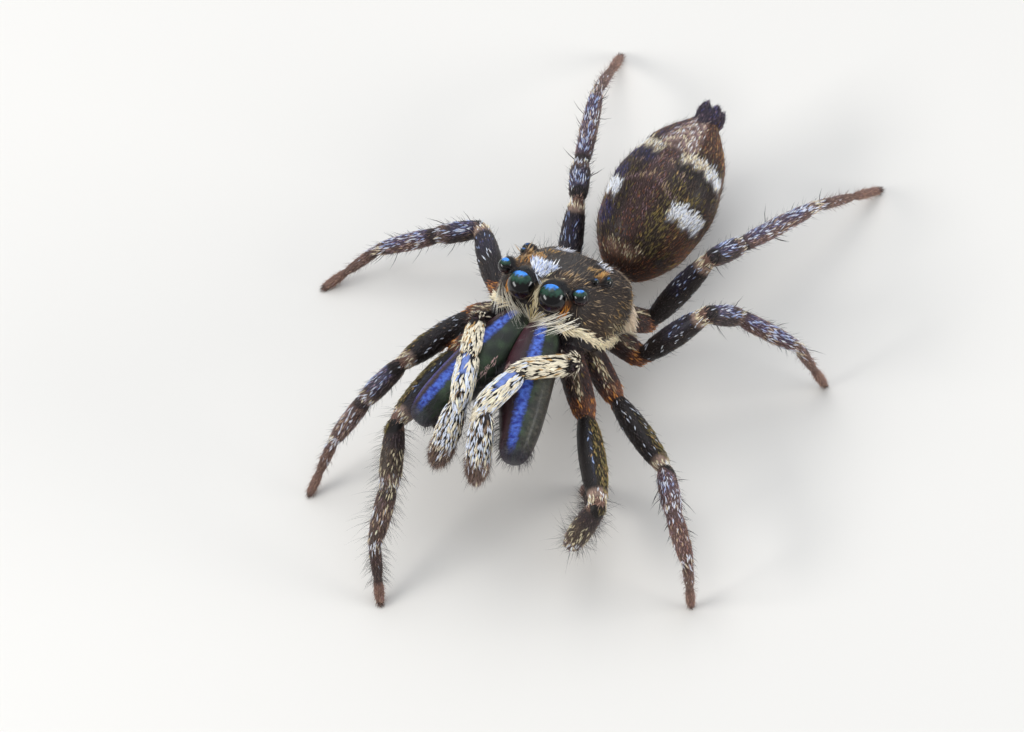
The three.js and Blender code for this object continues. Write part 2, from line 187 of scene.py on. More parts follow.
def band(value, low, high, soft=0.04):
    """1 between low and high, easing to 0 outside."""
    return np.clip((value - low) / soft + 0.5, 0, 1) * np.clip((high - value) / soft + 0.5, 0, 1)


def spot(x, y, cx, cy, rx, ry, soft=0.35):
    d = np.hypot((x - cx) / rx, (y - cy) / ry)
    return np.clip((1 + soft / 2 - d) / soft, 0, 1)


def axes_of(side, along, up):
    return np.array([side, along, up], float)


def axes_towards(along, up=(0, 0, 1)):
    side = unit(np.cross(along, up))
    return axes_of(side, along, np.cross(side, along))


def along_skin(way, normals):
    """The part of each direction that lies in the skin."""
    return way - np.einsum("ij,ij->i", way, normals)[:, None] * normals


COS, SIN = math.cos(PITCH), math.sin(PITCH)
CARAPACE_AXES = axes_of((1, 0, 0), (0, COS, -SIN), (0, SIN, COS))


def centre_shift():
    """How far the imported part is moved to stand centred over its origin."""
    lo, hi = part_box("eye_principal_left")
    side, y, z = EYES["principal"][:3]
    seat = np.array((side, y, z)) @ CARAPACE_AXES + (0, 0, RIDE_HEIGHT)
    return (np.array(lo) + np.array(hi)) / 2 / MM - seat


SHIFT = centre_shift()
CARAPACE_ORIGIN = np.array((0, 0, RIDE_HEIGHT)) + SHIFT


def from_carapace(place, side=1):
    """A point of the carapace's frame: x to the left, y to the rear, z up from its margin."""
    x, y, z = place
    return np.array((x * side, y, z)) @ CARAPACE_AXES + CARAPACE_ORIGIN


def heading(out, lift, side):
    out, lift = math.radians(out), math.radians(lift)
    level = math.cos(lift)
    return np.array((side * math.sin(out) * level, -math.cos(out) * level, math.sin(lift)))


# ---- forms
def grid(around, along):
    """Places from -1 to 1 along a form, closer at its ends, and angles round it."""
    t = -np.cos(math.pi * np.arange(along + 1) / along)[:, None]
    return t, (TURN * np.arange(around) / around)[None, :]


class Form:
    """A named body part; the coat lies along the second of its axes."""

    def lie(self, points):
        return np.broadcast_to(self.axes[1], points.shape)


class Body(Form):
    """A form with stations along an axis and superellipse sections round it."""

    def __init__(self, name, origin, axes, stations, ends, power, taper=0.0):
        self.name, self.origin, self.axes = name, origin, axes
        self.at, self.half, self.top, self.under = np.array(stations, float).T
        self.ends, self.power, self.depth, self.taper = ends, power, COAT_DEPTH[name], taper

    def section(self, at):
        i = np.clip(np.searchsorted(self.at, at) - 1, 0, len(self.at) - 2)
        t = np.clip((at - self.at[i]) / (self.at[i + 1] - self.at[i]), 0, 1)
        ease = t * t * (3 - 2 * t) * 0.5 + t * 0.5
        parts = [v[i] + (v[i + 1] - v[i]) * ease for v in (self.half, self.top, self.under)]
        return [np.maximum(p - self.depth, 0.02) for p in parts]

    def fullness(self, t):
        end = np.where(t < 0, self.ends[0], self.ends[1])
        return np.maximum(1 - np.abs(t) ** end, 0) ** (1 / end)

    def surface(self, around, along):
        t, angle = grid(around, along)
        first, last = self.at[0], self.at[-1]
        at = first + (last - first) * (t + 1) / 2
        half, top, under = self.section(at)
        c, s = np.cos(angle), np.sin(angle)
        round_off = (np.abs(c) ** self.power + np.abs(s) ** self.power) ** (-1 / self.power)
        full = self.fullness(t)
        z = s * round_off * full * np.where(s > 0, top, under)
        x = c * round_off * full * half * (1 - self.taper * z / top)
        y = at - self.depth * np.sign(t) * np.abs(t) ** 4 + 0 * angle
        local = np.stack([x, y, z], -1)
        return local @ self.axes + self.origin

    def locate(self, points):
        """Distance out of the form, share along it, angle round it from the top."""
        x, at, z = ((points - self.origin) @ self.axes.T).T
        first, last = self.at[0], self.at[-1]
        t = (at - first) / (last - first) * 2 - 1
        inside = np.clip(t, -0.995, 0.995)
        half, top, under = self.section(at)
        full = self.fullness(inside)
        height = np.where(z > 0, top, under) * full
        wide = half * full * (1 - self.taper * np.clip(z / top, -1, 1))
        rho = ((np.abs(x) / wide) ** self.power + (np.abs(z) / height) ** self.power) ** (1 / self.power)
        gap = (rho - 1) * np.minimum(wide, height) + np.abs(t - inside) * (last - first) / 2
        return gap, (t + 1) / 2, np.arctan2(x, z)


class Segment(Form):
    """A limb segment between two joints; it runs on past both by a share of its radius."""

    bow_axis = 2

    def __init__(self, name, start, end, radii, box=4.0, bow=0.0, up=(0, 0, 1), overrun=0.5):
        self.name, self.start, self.end = name, np.array(start, float), np.array(end, float)
        self.radii, self.box, self.bow = radii, box, bow
        self.length = np.linalg.norm(self.end - self.start)
        self.axes = axes_towards((self.end - self.start) / self.length, up)
        over = (overrun, overrun) if np.isscalar(overrun) else overrun
        self.before, self.after = (over[i] * radii[i] / self.length for i in range(2))

    def radius(self, f):
        inner = np.clip(f, 0, 1)
        start, end, belly = self.radii
        return (start + (end - start) * inner) * (1 + belly * np.sin(math.pi * inner))

    def fullness(self, f):
        t = (f + self.before) / (1 + self.before + self.after) * 2 - 1
        return np.maximum(1 - np.abs(np.clip(t, -1, 1)) ** self.box, 0) ** (1 / self.box)

    def axis_point(self, f):
        f = np.asarray(f)[..., None]
        rise = self.bow * np.sin(math.pi * np.clip(f, 0, 1))
        return self.start + (self.end - self.start) * f + rise * self.axes[self.bow_axis]

    def surface(self, around, along):
        t, angle = grid(around, along)
        f = (t + 1) / 2 * (1 + self.before + self.after) - self.before
        ring = np.cos(angle)[..., None] * self.axes[0] + np.sin(angle)[..., None] * self.axes[2]
        return self.axis_point(f) + ring * (self.radius(f) * self.fullness(f))[..., None]

    def locate(self, points):
        """Distance out of the form, share along it, angle round it from the top."""
        f = (points - self.start) @ self.axes[1] / self.length
        held = np.clip(f, -self.before, 1 + self.after)
        x, y, z = ((points - self.axis_point(held)) @ self.axes.T).T
        gap = np.hypot(np.sqrt(x**2 + z**2), np.abs(y)) - self.radius(held)
        return gap, f, np.arctan2(x, z)


class Knob:
    """A ball such as an eye or its mound."""

    def __init__(self, centre, radius, axes, stretch=(1, 1, 1)):
        self.centre, self.size, self.axes = centre, radius, axes
        self.stretch = np.array(stretch, float)

    def surface(self, around, along):
        t, angle = grid(around, along)
        ring = np.sqrt(np.maximum(1 - t * t, 0))
        local = np.stack([np.cos(angle) * ring, t + 0 * angle, np.sin(angle) * ring], -1)
        return (local * self.size * self.stretch) @ self.axes + self.centre


# ---- meshes
def closed_form(points):
    """Vertices and triangles of a form whose first and last rings are single points."""
    rows, around = points.shape[:2]
    ring = points[1:-1].reshape(-1, 3)
    verts = np.concatenate([ring, points[:1, 0], points[-1:, 0]])
    first, last = len(ring), len(ring) + 1
    i = np.arange(rows - 3)[:, None] * around
    j = np.arange(around)[None, :]
    k = (j + 1) % around
    a, b, c, d = (i + j).ravel(), (i + k).ravel(), (i + around + k).ravel(), (i + around + j).ravel()
    tris = [np.stack([a, b, c], 1), np.stack([a, c, d], 1)]
    j, k = j.ravel(), k.ravel()
    tail = (rows - 3) * around
    tris.append(np.stack([k, j, np.full(around, first)], 1))
    tris.append(np.stack([tail + j, tail + k, np.full(around, last)], 1))
    tris = np.concatenate(tris)
    p = verts[tris]
    if np.einsum("ij,ij->i", p[:, 0], np.cross(p[:, 1], p[:, 2])).sum() < 0:
        tris = tris[:, ::-1]
    return verts, tris


def joined(parts):
    """Several (vertices, triangles) as one."""
    verts, tris, base = [], [], 0
    for v, t in parts:
        verts.append(v)
        tris.append(t + base)
        base += len(v)
    return np.concatenate(verts), np.concatenate(tris)


def put(rows, name, values, kind=np.float32):
    rows.foreach_set(name, np.asarray(values, kind).ravel())


def fetch(rows, name, width, kind):
    values = np.empty(len(rows) * width, kind)
    rows.foreach_get(name, values)
    return values.reshape(-1, width)


def make_object(name, verts, tris, tint=None, grain=None, smooth=True):
    """A mesh object in metres from points in millimetres, with its attributes for the materials."""
    mesh = bpy.data.meshes.new(name)
    mesh.vertices.add(len(verts))
    put(mesh.vertices, "co", verts * MM)
    mesh.loops.add(len(tris) * 3)
    put(mesh.loops, "vertex_index", tris, np.int32)
    mesh.polygons.add(len(tris))
    put(mesh.polygons, "loop_start", np.arange(len(tris)) * 3, np.int32)
    mesh.update(calc_edges=True)
    put(mesh.polygons, "use_smooth", np.full(len(tris), smooth), bool)
    if tint is not None:
        rgba = np.concatenate([tint, np.ones((len(tint), 1))], 1)
        put(mesh.attributes.new("tint", "FLOAT_COLOR", "POINT").data, "color", rgba)
    if grain is not None:
        put(mesh.attributes.new("grain", "FLOAT_VECTOR", "POINT").data, "vector", grain)
    obj = bpy.data.objects.new(name, mesh)
    bpy.context.scene.collection.objects.link(obj)
    return obj


def own(obj, material, slot, *nodes):
    """Gives a piece its material, hangs it under the root and hides the solids it stands for; slot is not
    used.
    """
    obj.data.materials.append(material)
    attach(obj, "root")
    if nodes:
        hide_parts(*nodes)


# ---- the animal's forms
ABDOMEN_AXES = axes_towards(unit(np.array(ABDOMEN_REAR, float) - ABDOMEN_FRONT))
ABDOMEN_ORIGIN = np.array(ABDOMEN_FRONT) + SHIFT


def from_abdomen(x, along, z):
    return np.array((x, along, z)) @ ABDOMEN_AXES + ABDOMEN_ORIGIN


def leg_joints(side, pair):
    out, lift = POSE[side, pair]
    points = [from_carapace(HIPS[pair], SIDES[side])]
    for i, length in enumerate(LEG_LENGTHS[pair]):
        start = points[-1]
        up = lift[i] if i < 4 else math.degrees(math.asin((FOOT_END - start[2]) / length))
        points.append(start + heading(out[i], up, SIDES[side]) * length)
    return points


def leg_forms(side, pair):
    *joints, ankle, aim = leg_joints(side, pair)
    toe = ankle + (aim - ankle) * (ankle[2] - TOE_RADIUS) / (ankle[2] - FOOT_END)
    joints += [ankle, ankle + (toe - ankle) * METATARSUS_SHARE, toe]
    scale = FRONT_LEG_SCALE if pair == 1 else 1.0
    forms = []
    for i, (part, (first, last, belly)) in enumerate(LEG_FLESH.items()):
        radii = (first * scale, last * scale, belly)
        over = (0.5, 0.15) if part == "tarsus" else 0.5
        box = 3.0 if part in ("femur", "tarsus") else 3.6
        name = f"{part}_{pair}_{side}"
        forms.append(Segment(name, joints[i], joints[i + 1], radii, box=box, overrun=over))
    return forms


def palp_forms(side):
    root, knee, elbow, wrist, tip = (from_carapace(joint, SIDES[side]) for joint in PALP_JOINTS[side])
    return [
        Segment(f"palpfemur_{side}", root, knee, (0.11, 0.12, 0.05)),
        Segment(f"palppatella_{side}", knee, elbow, (0.115 if side == "right" else 0.13, 0.135, 0.08)),
        Segment(f"palptibia_{side}", elbow, wrist, (0.13, 0.14, 0.12)),
        Segment(f"cymbium_{side}", wrist, tip, (0.13, 0.135, 0.36), box=3.2, overrun=(0.5, -0.3)),
    ]


def eye_direction(kind, side):
    return heading(*EYES[kind][4:], SIDES[side]) @ CARAPACE_AXES


def each_eye():
    """Kind, side, centre and radius of each eye."""
    for kind, (x, y, z, radius, *_) in EYES.items():
        for side, sign in SIDES.items():
            yield kind, side, from_carapace((x, y, z), sign), radius


def eye_mounds():
    """Rims that seat the eyes in the head."""
    for kind, side, centre, radius in each_eye():
        depth, size = EYE_SEATS.get(kind, (0.42, 1.16))
        look = eye_direction(kind, side)
        yield Knob(centre - look * radius * depth, radius * size, axes_towards(look))


def mouth_forms():
    lobes = [((0, 0, -0.36), (0.27, 0.57, 0.1)), ((0, -0.68, -0.33), (0.1, 0.14, 0.08))]
    lobes += [((s * 0.2, -0.84, -0.26), (0.1, 0.2, 0.1)) for s in (1, -1)]
    return [Knob(from_carapace(centre), 1.0, CARAPACE_AXES, size) for centre, size in lobes]


def jaw_ends(side):
    return (from_carapace(CHELICERA[end], SIDES[side]) for end in ("base", "tip"))


class Jaw(Segment):
    """A chelicera, fuller on its inner side near the base; angle 0 is its upper ridge."""

    bow_axis = 0

    def __init__(self, side):
        super().__init__(f"jaw_{side}", *jaw_ends(side), (*CHELICERA["radii"], 0.04), box=3.4, overrun=0)
        self.side = SIDES[side]
        self.inward = -np.sign(self.axes[0][0]) * self.side
        self.bow = CHELICERA["bow"] * self.side * np.sign(self.axes[0][0])

    def bulge(self, f, angle):
        inner = np.clip(np.sin(angle) * self.inward, 0, 1) ** 1.5
        return 1 + JAW_INNER_BULGE * inner * band(f, -1, 0.66, 0.36)

    def apart(self, points):
        """Keeps the jaw on its own side of the gap between the two."""
        short = JAW_GAP + SHIFT[0] * self.side - points[..., 0] * self.side
        return points + np.maximum(short, 0)[..., None] * np.array((self.side, 0, 0))

    def on_skin(self, f, angle):
        """Points of the surface at a share along it and an angle from its ridge, with normals."""
        ring = np.sin(angle)[..., None] * self.axes[0] + np.cos(angle)[..., None] * self.axes[2]
        r = self.radius(f) * self.fullness(f) * self.bulge(f, angle)
        return self.apart(self.axis_point(f) + ring * r[..., None]), unit(ring)

    def surface(self, around, along):
        t, angle = grid(around, along)
        return self.on_skin((t + 1) / 2, angle)[0]


def spinneret_forms():
    """Two long rear and two front spinnerets round the anal knob."""
    last = ABDOMEN_STATIONS[-1][0]
    forms = []
    for x, z, reach, radius in ((0.075, 0.08, 0.15, 0.07), (0.1, -0.06, 0.12, 0.08)):
        for side in (1, -1):
            start = from_abdomen(side * x, last - 0.16, z)
            end = from_abdomen(side * x * 1.15, last + reach * 0.7, z * 1.2 + 0.02)
            radii = (radius * 1.3, radius * 1.1, 0.1)
            forms.append(Segment(f"spinneret_{side}_{z}", start, end, radii, box=2.6, overrun=(0.5, 0.7)))
    knob_seat = from_abdomen(0, last - 0.02, 0.14)
    forms.append(Segment("spinneret_top", from_abdomen(0, last - 0.2, 0.12), knob_seat, (0.12, 0.08, 0)))
    return forms


carapace = Body("carapace", CARAPACE_ORIGIN, CARAPACE_AXES, CARAPACE_STATIONS, (7, 3), 4.2, CARAPACE_TAPER)
abdomen = Body("abdomen", ABDOMEN_ORIGIN, ABDOMEN_AXES, ABDOMEN_STATIONS, (2.6, 2.2), 2.15)
legs = {(side, pair): leg_forms(side, pair) for pair in LEG_LENGTHS for side in SIDES}
palps = {side: palp_forms(side) for side in SIDES}
pedicel = Segment("pedicel", from_carapace((0, 0.94, -0.02)), from_abdomen(0, 0.2, 0), (0.11, 0.11, 0))
JAWS = {side: Jaw(side) for side in SIDES}

MAPPED = [carapace, abdomen, pedicel, *spinneret_forms()]
MAPPED += [form for limb in (*palps.values(), *legs.values()) for form in limb]


def make_skin():
    """One surface round all the forms of flesh, in millimetres."""
    parts = [closed_form(carapace.surface(96, 64)), closed_form(abdomen.surface(96, 64))]
    for form in (*MAPPED[2:], *eye_mounds(), *mouth_forms()):
        parts.append(closed_form(form.surface(24, 20)))
    verts, tris = joined(parts)
    rough = make_object("forms", verts / MM, tris)
    remesh = rough.modifiers.new("union", "REMESH")
    remesh.mode = "VOXEL"
    remesh.voxel_size = VOXEL
    smooth = rough.modifiers.new("round_off", "SMOOTH")
    smooth.factor = 0.5
    smooth.iterations = 3
    graph = bpy.context.evaluated_depsgraph_get()
    mesh = bpy.data.meshes.new_from_object(rough.evaluated_get(graph))
    bpy.data.objects.remove(rough)
    mesh.calc_loop_triangles()
    points = fetch(mesh.vertices, "co", 3, np.float32).astype(float)
    tris = fetch(mesh.loop_triangles, "vertices", 3, np.int32)
    bpy.data.meshes.remove(mesh)
    points[:, 2] = np.maximum(points[:, 2], 0.0)
    return points, tris


def vertex_normals(points, tris):
    p = points[tris]
    face = np.cross(p[:, 1] - p[:, 0], p[:, 2] - p[:, 0])
    normals = np.zeros_like(points)
    for k in range(3):
        np.add.at(normals, tris[:, k], face)
    return unit(normals)


BODY_GRAIN = 2.5  # length that the relief takes the carapace and the abdomen to have


class Place:
    """Points on the skin, each with its form, share along it and angle round it."""

    def __init__(self, points, normals):
        self.points, self.normals = points, normals
        count = len(points)
        best = np.full(count, np.inf)
        self.form, self.f, self.angle = np.zeros(count, int), np.zeros(count), np.zeros(count)
        for i, form in enumerate(MAPPED):
            gap, f, angle = form.locate(points)
            nearer = gap < best
            best[nearer] = gap[nearer]
            self.form[nearer] = i
            self.f[nearer] = f[nearer]
            self.angle[nearer] = angle[nearer]
        self.local = (points - CARAPACE_ORIGIN) @ CARAPACE_AXES.T
        names = [form.name.split("_") for form in MAPPED]
        self.part = np.array([name[0] for name in names])[self.form]
        self.pair = np.array([name[1] if len(name) == 3 else "0" for name in names])[self.form]
        self.side = np.array([SIDES.get(name[-1], 0) for name in names])[self.form]

    def take(self, keep):
        part = object.__new__(Place)
        for key, value in self.__dict__.items():
            setattr(part, key, value[keep])
        return part

    def lie(self):
        """Direction of the coat along the skin."""
        way = np.zeros_like(self.points)
        for i in np.unique(self.form):
            at = self.form == i
            way[at] = MAPPED[i].lie(self.points[at])
        head = self.part == "carapace"
        way[head] = carapace_lie(self.local[head])
        return unit(along_skin(way, self.normals) + 1e-6)

    def grain(self):
        """Coordinates in millimetres along and round the form, for the fine relief."""
        reach = np.array([getattr(form, "length", BODY_GRAIN) for form in MAPPED])[self.form]
        return np.stack([self.f * reach, self.angle * 0.25, self.form * 3.7], 1)


def carapace_lie(local):
    """Hairs run back over the head and down its sides, and down the face."""
    x, y, z = local.T
    face = np.clip((-y - 0.95) / 0.12, 0, 1)
    flank = np.clip((0.68 - z) / 0.5, 0, 1)
    back = np.stack([0.25 * x, np.ones_like(x), -0.1 - 0.9 * flank], 1)
    down = np.stack([-0.7 * x, -0.15 + 0 * x, -np.ones_like(x)], 1)
    mixed = back * (1 - face[:, None]) + down * face[:, None]
    return mixed @ CARAPACE_AXES


# ---- colours
def linear(*rgb):
    """sRGB 0-255 to linear."""
    c = np.array(rgb) / 255
    return np.where(c <= 0.04045, c / 12.92, ((c + 0.055) / 1.055) ** 2.4)


# name: colour of the scales, colour of the skin under them
PIGMENTS = {
    "black": ((28, 23, 23), (18, 15, 15)),
    "brown": ((66, 52, 48), (42, 33, 30)),
    "plum": ((84, 66, 74), (46, 37, 42)),
    "olive": ((126, 112, 62), (50, 44, 26)),
    "dun": ((138, 116, 94), (60, 48, 38)),
    "tan": ((184, 158, 124), (84, 66, 48)),
    "gold": ((188, 150, 94), (72, 54, 32)),
    "cream": ((236, 222, 184), (124, 108, 82)),
    "white": ((236, 240, 250), (160, 162, 172)),
    "orange": ((212, 140, 56), (104, 60, 24)),
    "rust": ((158, 98, 66), (86, 50, 36)),
    "foot": ((176, 142, 122), (126, 96, 84)),
    # partly painted sheen: the pale slate blue of the palps' bald glossy cuticle, as scale and skin colour
    "slate": ((120, 142, 205), (116, 138, 205)),
    "mauve": ((160, 130, 140), (78, 58, 62)),
    "violet": ((96, 94, 160), (50, 48, 92)),
    "sky": ((158, 176, 216), (72, 82, 118)),
    "pink": ((206, 164, 142), (176, 132, 112)),
    "strand": ((240, 226, 186), (34, 27, 24)),
    "plate": ((238, 227, 202), (28, 23, 22)),
    "pearl": ((224, 230, 244), (28, 24, 26)),
}
NAMES = list(PIGMENTS)
SCALE_COLOURS, SKIN_COLOURS = (
    np.array([linear(*rgb) for rgb in tints]) for tints in zip(*PIGMENTS.values())
)


class Paint:
    """Shares of each pigment at many places; later layers cover earlier ones."""

    def __init__(self, count):
        self.share = np.zeros((count, len(NAMES)))
        self.share[:, NAMES.index("brown")] = 1

    def lay(self, where, amount, **mix):
        """where: weight of each place; amount: how fully the new mix of pigments covers."""
        weight = np.clip(np.asarray(where, float) * amount, 0, 1)[:, None]
        new = np.zeros(len(NAMES))
        for name, part in mix.items():
            new[NAMES.index(name)] = part
        new /= new.sum()
        self.share = self.share * (1 - weight) + new * weight

    def on(self, here):
        """lay() held to one part of the body."""
        return lambda where, amount, **mix: self.lay(here * where, amount, **mix)


def eye_gaps(at):
    """How far each place is from the centre of each eye, in the eye's radii."""
    eyes = [(centre, radius) for _, _, centre, radius in each_eye()]
    return np.array([np.linalg.norm(at.points - centre, axis=1) / radius for centre, radius in eyes])


def margin(local):
    """1 on the pale band that rises from the rear of the head's lower edge to its face."""
    x, y, z = local.T
    middle = np.interp(y, *np.transpose(MARGIN_LINE))
    half = np.interp(y, [-0.4, 0.1], [0.05, 0.085])
    level = band(z, middle - half, middle + half, 0.03)
    return level * band(y, -2, 0.46, 0.16) * band(np.abs(x), 0.36, 2, 0.06)


def eye_field(local):
    """1 on the nearly bald field between the lateral eyes."""
    x, y, z = local.T
    return band(np.abs(x), -1, 0.5, 0.16) * band(y, -0.8, 0.3, 0.12) * band(z, 0.56, 2, 0.1)


def paint_carapace(at, lay):
    x, y, z = at.local.T
    ax = np.abs(x)
    lay(1, 1, black=50, brown=36, dun=10, tan=4)
    low = band(z, -0.12, 0.4, 0.2) * band(y, -1, 2, 0.2)
    lay(low, 0.65, black=46, brown=22, dun=8, gold=12, tan=12)
    lay(eye_field(at.local), 0.9, brown=55, black=45)
    edge = band(x, 0.16, 0.46, 0.12) * band(y, -1.0, -0.68, 0.12) * band(z, 0.66, 2, 0.08)
    lay(edge, 0.8, tan=36, gold=20, dun=20, brown=24)
    right_gold = spot(x, y, -0.44, -0.74, 0.22, 0.26) * band(z, 0.6, 2, 0.1)
    lay(right_gold, 0.92, gold=44, tan=30, orange=14, brown=12)
    bronze = spot(y, ax, -0.26, 0.34, 0.13, 0.08) * band(z, 0.66, 2, 0.1)
    lay(bronze, 0.75, gold=60, dun=20, brown=20)
    face = band(z, 0.2, 0.44, 0.06) * band(y, -2, -0.96, 0.06) * band(ax, -1, 0.7, 0.1)
    lay(face, 1, strand=80, black=20)
    below = np.interp(y, *np.transpose(MARGIN_LINE)) - 0.05
    lay(band(z, -2, below, 0.05) * band(y, -2, 0.6, 0.1), 1, black=80, plum=20)
    corner = spot(y, z, -0.14, 0.04, 0.3, 0.14) * band(ax, 0.5, 2, 0.1)
    lay(corner, 0.6, tan=40, cream=25, brown=20, black=15)
    lay(margin(at.local), 1, strand=85, white=15)
    gaps = eye_gaps(at)
    lay(band(gaps, -1, 1.24, 0.12).max(0), 1, black=1)
    gap = gaps[:2].min(0)
    ring = band(gap, 1.2, 1.36, 0.06) * band(ax, -1, 0.26, 0.08) * band(z, 0.6, 2, 0.1)
    lay(ring, 0.7, cream=50, tan=20, brown=30)
    wedge = band(np.abs(x + 0.13), -1, 0.15 + 0.5 * (y + 0.9), 0.05) * band(y, -1.08, -0.8, 0.05)
    lay(wedge * band(z, 0.7, 2, 0.06), 1, pearl=90, white=10)
    seam = band(ax, -1, 0.035, 0.03) * band(y, -2, -1.0, 0.05) * band(z, 0.42, 0.8, 0.05)
    lay(seam, 1, cream=90, tan=10)
    side = spot(ax, z, 0.47, 0.57, 0.05, 0.09) * band(y, -2, -0.98, 0.05)
    lay(side, 1, orange=75, black=25)
    rear = spot(y, x, -0.42, 0.53, 0.07, 0.08) * band(z, 0.64, 2, 0.1)
    lay(rear, 1, orange=40, gold=60)
    dash = spot(y + 0.5 * (ax - 0.33), ax, 0.12, 0.33, 0.05, 0.13) * band(z, 0.56, 2, 0.1)
    lay(dash, 1, white=70, tan=20, mauve=10)


def paint_abdomen(at, lay):
    along = at.f * ABDOMEN_STATIONS[-1][0]
    turn = np.degrees(np.abs(at.angle))
    wobble = 0.05 * np.sin(turn * 0.35) + 0.03 * np.sin(turn * 0.83 + 1)
    lay(1, 1, brown=48, black=26, olive=8, plum=18)
    left = at.angle * np.sign(ABDOMEN_AXES[0][0]) > 0
    right = ~left
    flank = band(turn, 14, 60, 20) * band(along, 0.3, 1.5, 0.3)
    lay(flank * left, 0.6, olive=34, gold=6, brown=50, black=10)
    lay(band(turn, -1, 16, 14) * band(along, 0.4, 2.0, 0.3), 0.6, mauve=20, rust=30, plum=24, brown=26)
    lay(band(turn, 84, 120, 24), 0.6, dun=40, rust=20, brown=40)
    lay(band(turn, 116, 181, 24), 0.9, brown=40, dun=36, mauve=24)
    for apex in (1.42, 1.74, 2.02, 2.24):
        line = along - apex + turn * 0.006
        lay(band(line, -0.035, 0.035, 0.06) * band(turn, 2, 34, 14), 0.7, mauve=60, tan=40)
    lay(band(along, -1, 0.36, 0.1), 0.8, rust=34, brown=44, black=22)
    front = band(along, 0.22, 0.4, 0.08) * band(turn, -1, 34, 20)
    lay(front, 0.65, cream=30, pink=30, mauve=20, brown=20)
    first = band(along + wobble * 0.6, 0.96, 1.2, 0.05) * band(turn, 36, 84, 7)
    lay(first, 1, white=85, cream=15)
    under_first = band(along + wobble, 0.5, 0.92, 0.16) * band(turn, 50, 100, 16)
    lay(under_first, 0.6, rust=50, dun=20, brown=30)
    bent = along - 0.1 * np.cos(np.radians((turn - 40) * 2.2)) + wobble * 0.5
    shadow = band(bent, 1.5, 1.7, 0.1) * band(turn, 16, 84, 12)
    lay(shadow, 0.8, black=65, brown=30, olive=5)
    lay(shadow * right, 0.6, violet=40, black=60)
    patch = spot(along, turn, 1.3, 58, 0.2, 22) + spot(along, turn, 0.7, 50, 0.16, 20)
    lay(patch * right * (1 - first), 0.7, violet=36, black=64)
    second = band(bent, 1.7, 1.84, 0.07) * band(turn, 16, 84, 10)
    lay(second, 0.92, white=25, cream=50, tan=25)
    outer_second = band(bent, 1.7, 1.86, 0.07) * band(turn, 56, 88, 10)
    lay(outer_second, 0.9, white=80, cream=20)
    tip = band(along, 2.06, 2.8, 0.12) * band(turn, 20, 110, 20)
    lay(tip, 0.8, rust=40, gold=8, brown=32, black=20)
    lay(tip * right, 0.5, violet=35, black=40, plum=25)
    centre = band(along, 1.96, 2.66, 0.12) * band(turn, -1, 30, 16)
    rows = np.clip(0.5 + np.sin((along + turn * 0.006) * 42), 0, 1)
    lay(centre, 0.8, pink=30, mauve=35, plum=35)
    lay(centre * rows, 0.8, white=30, cream=30, pink=40)


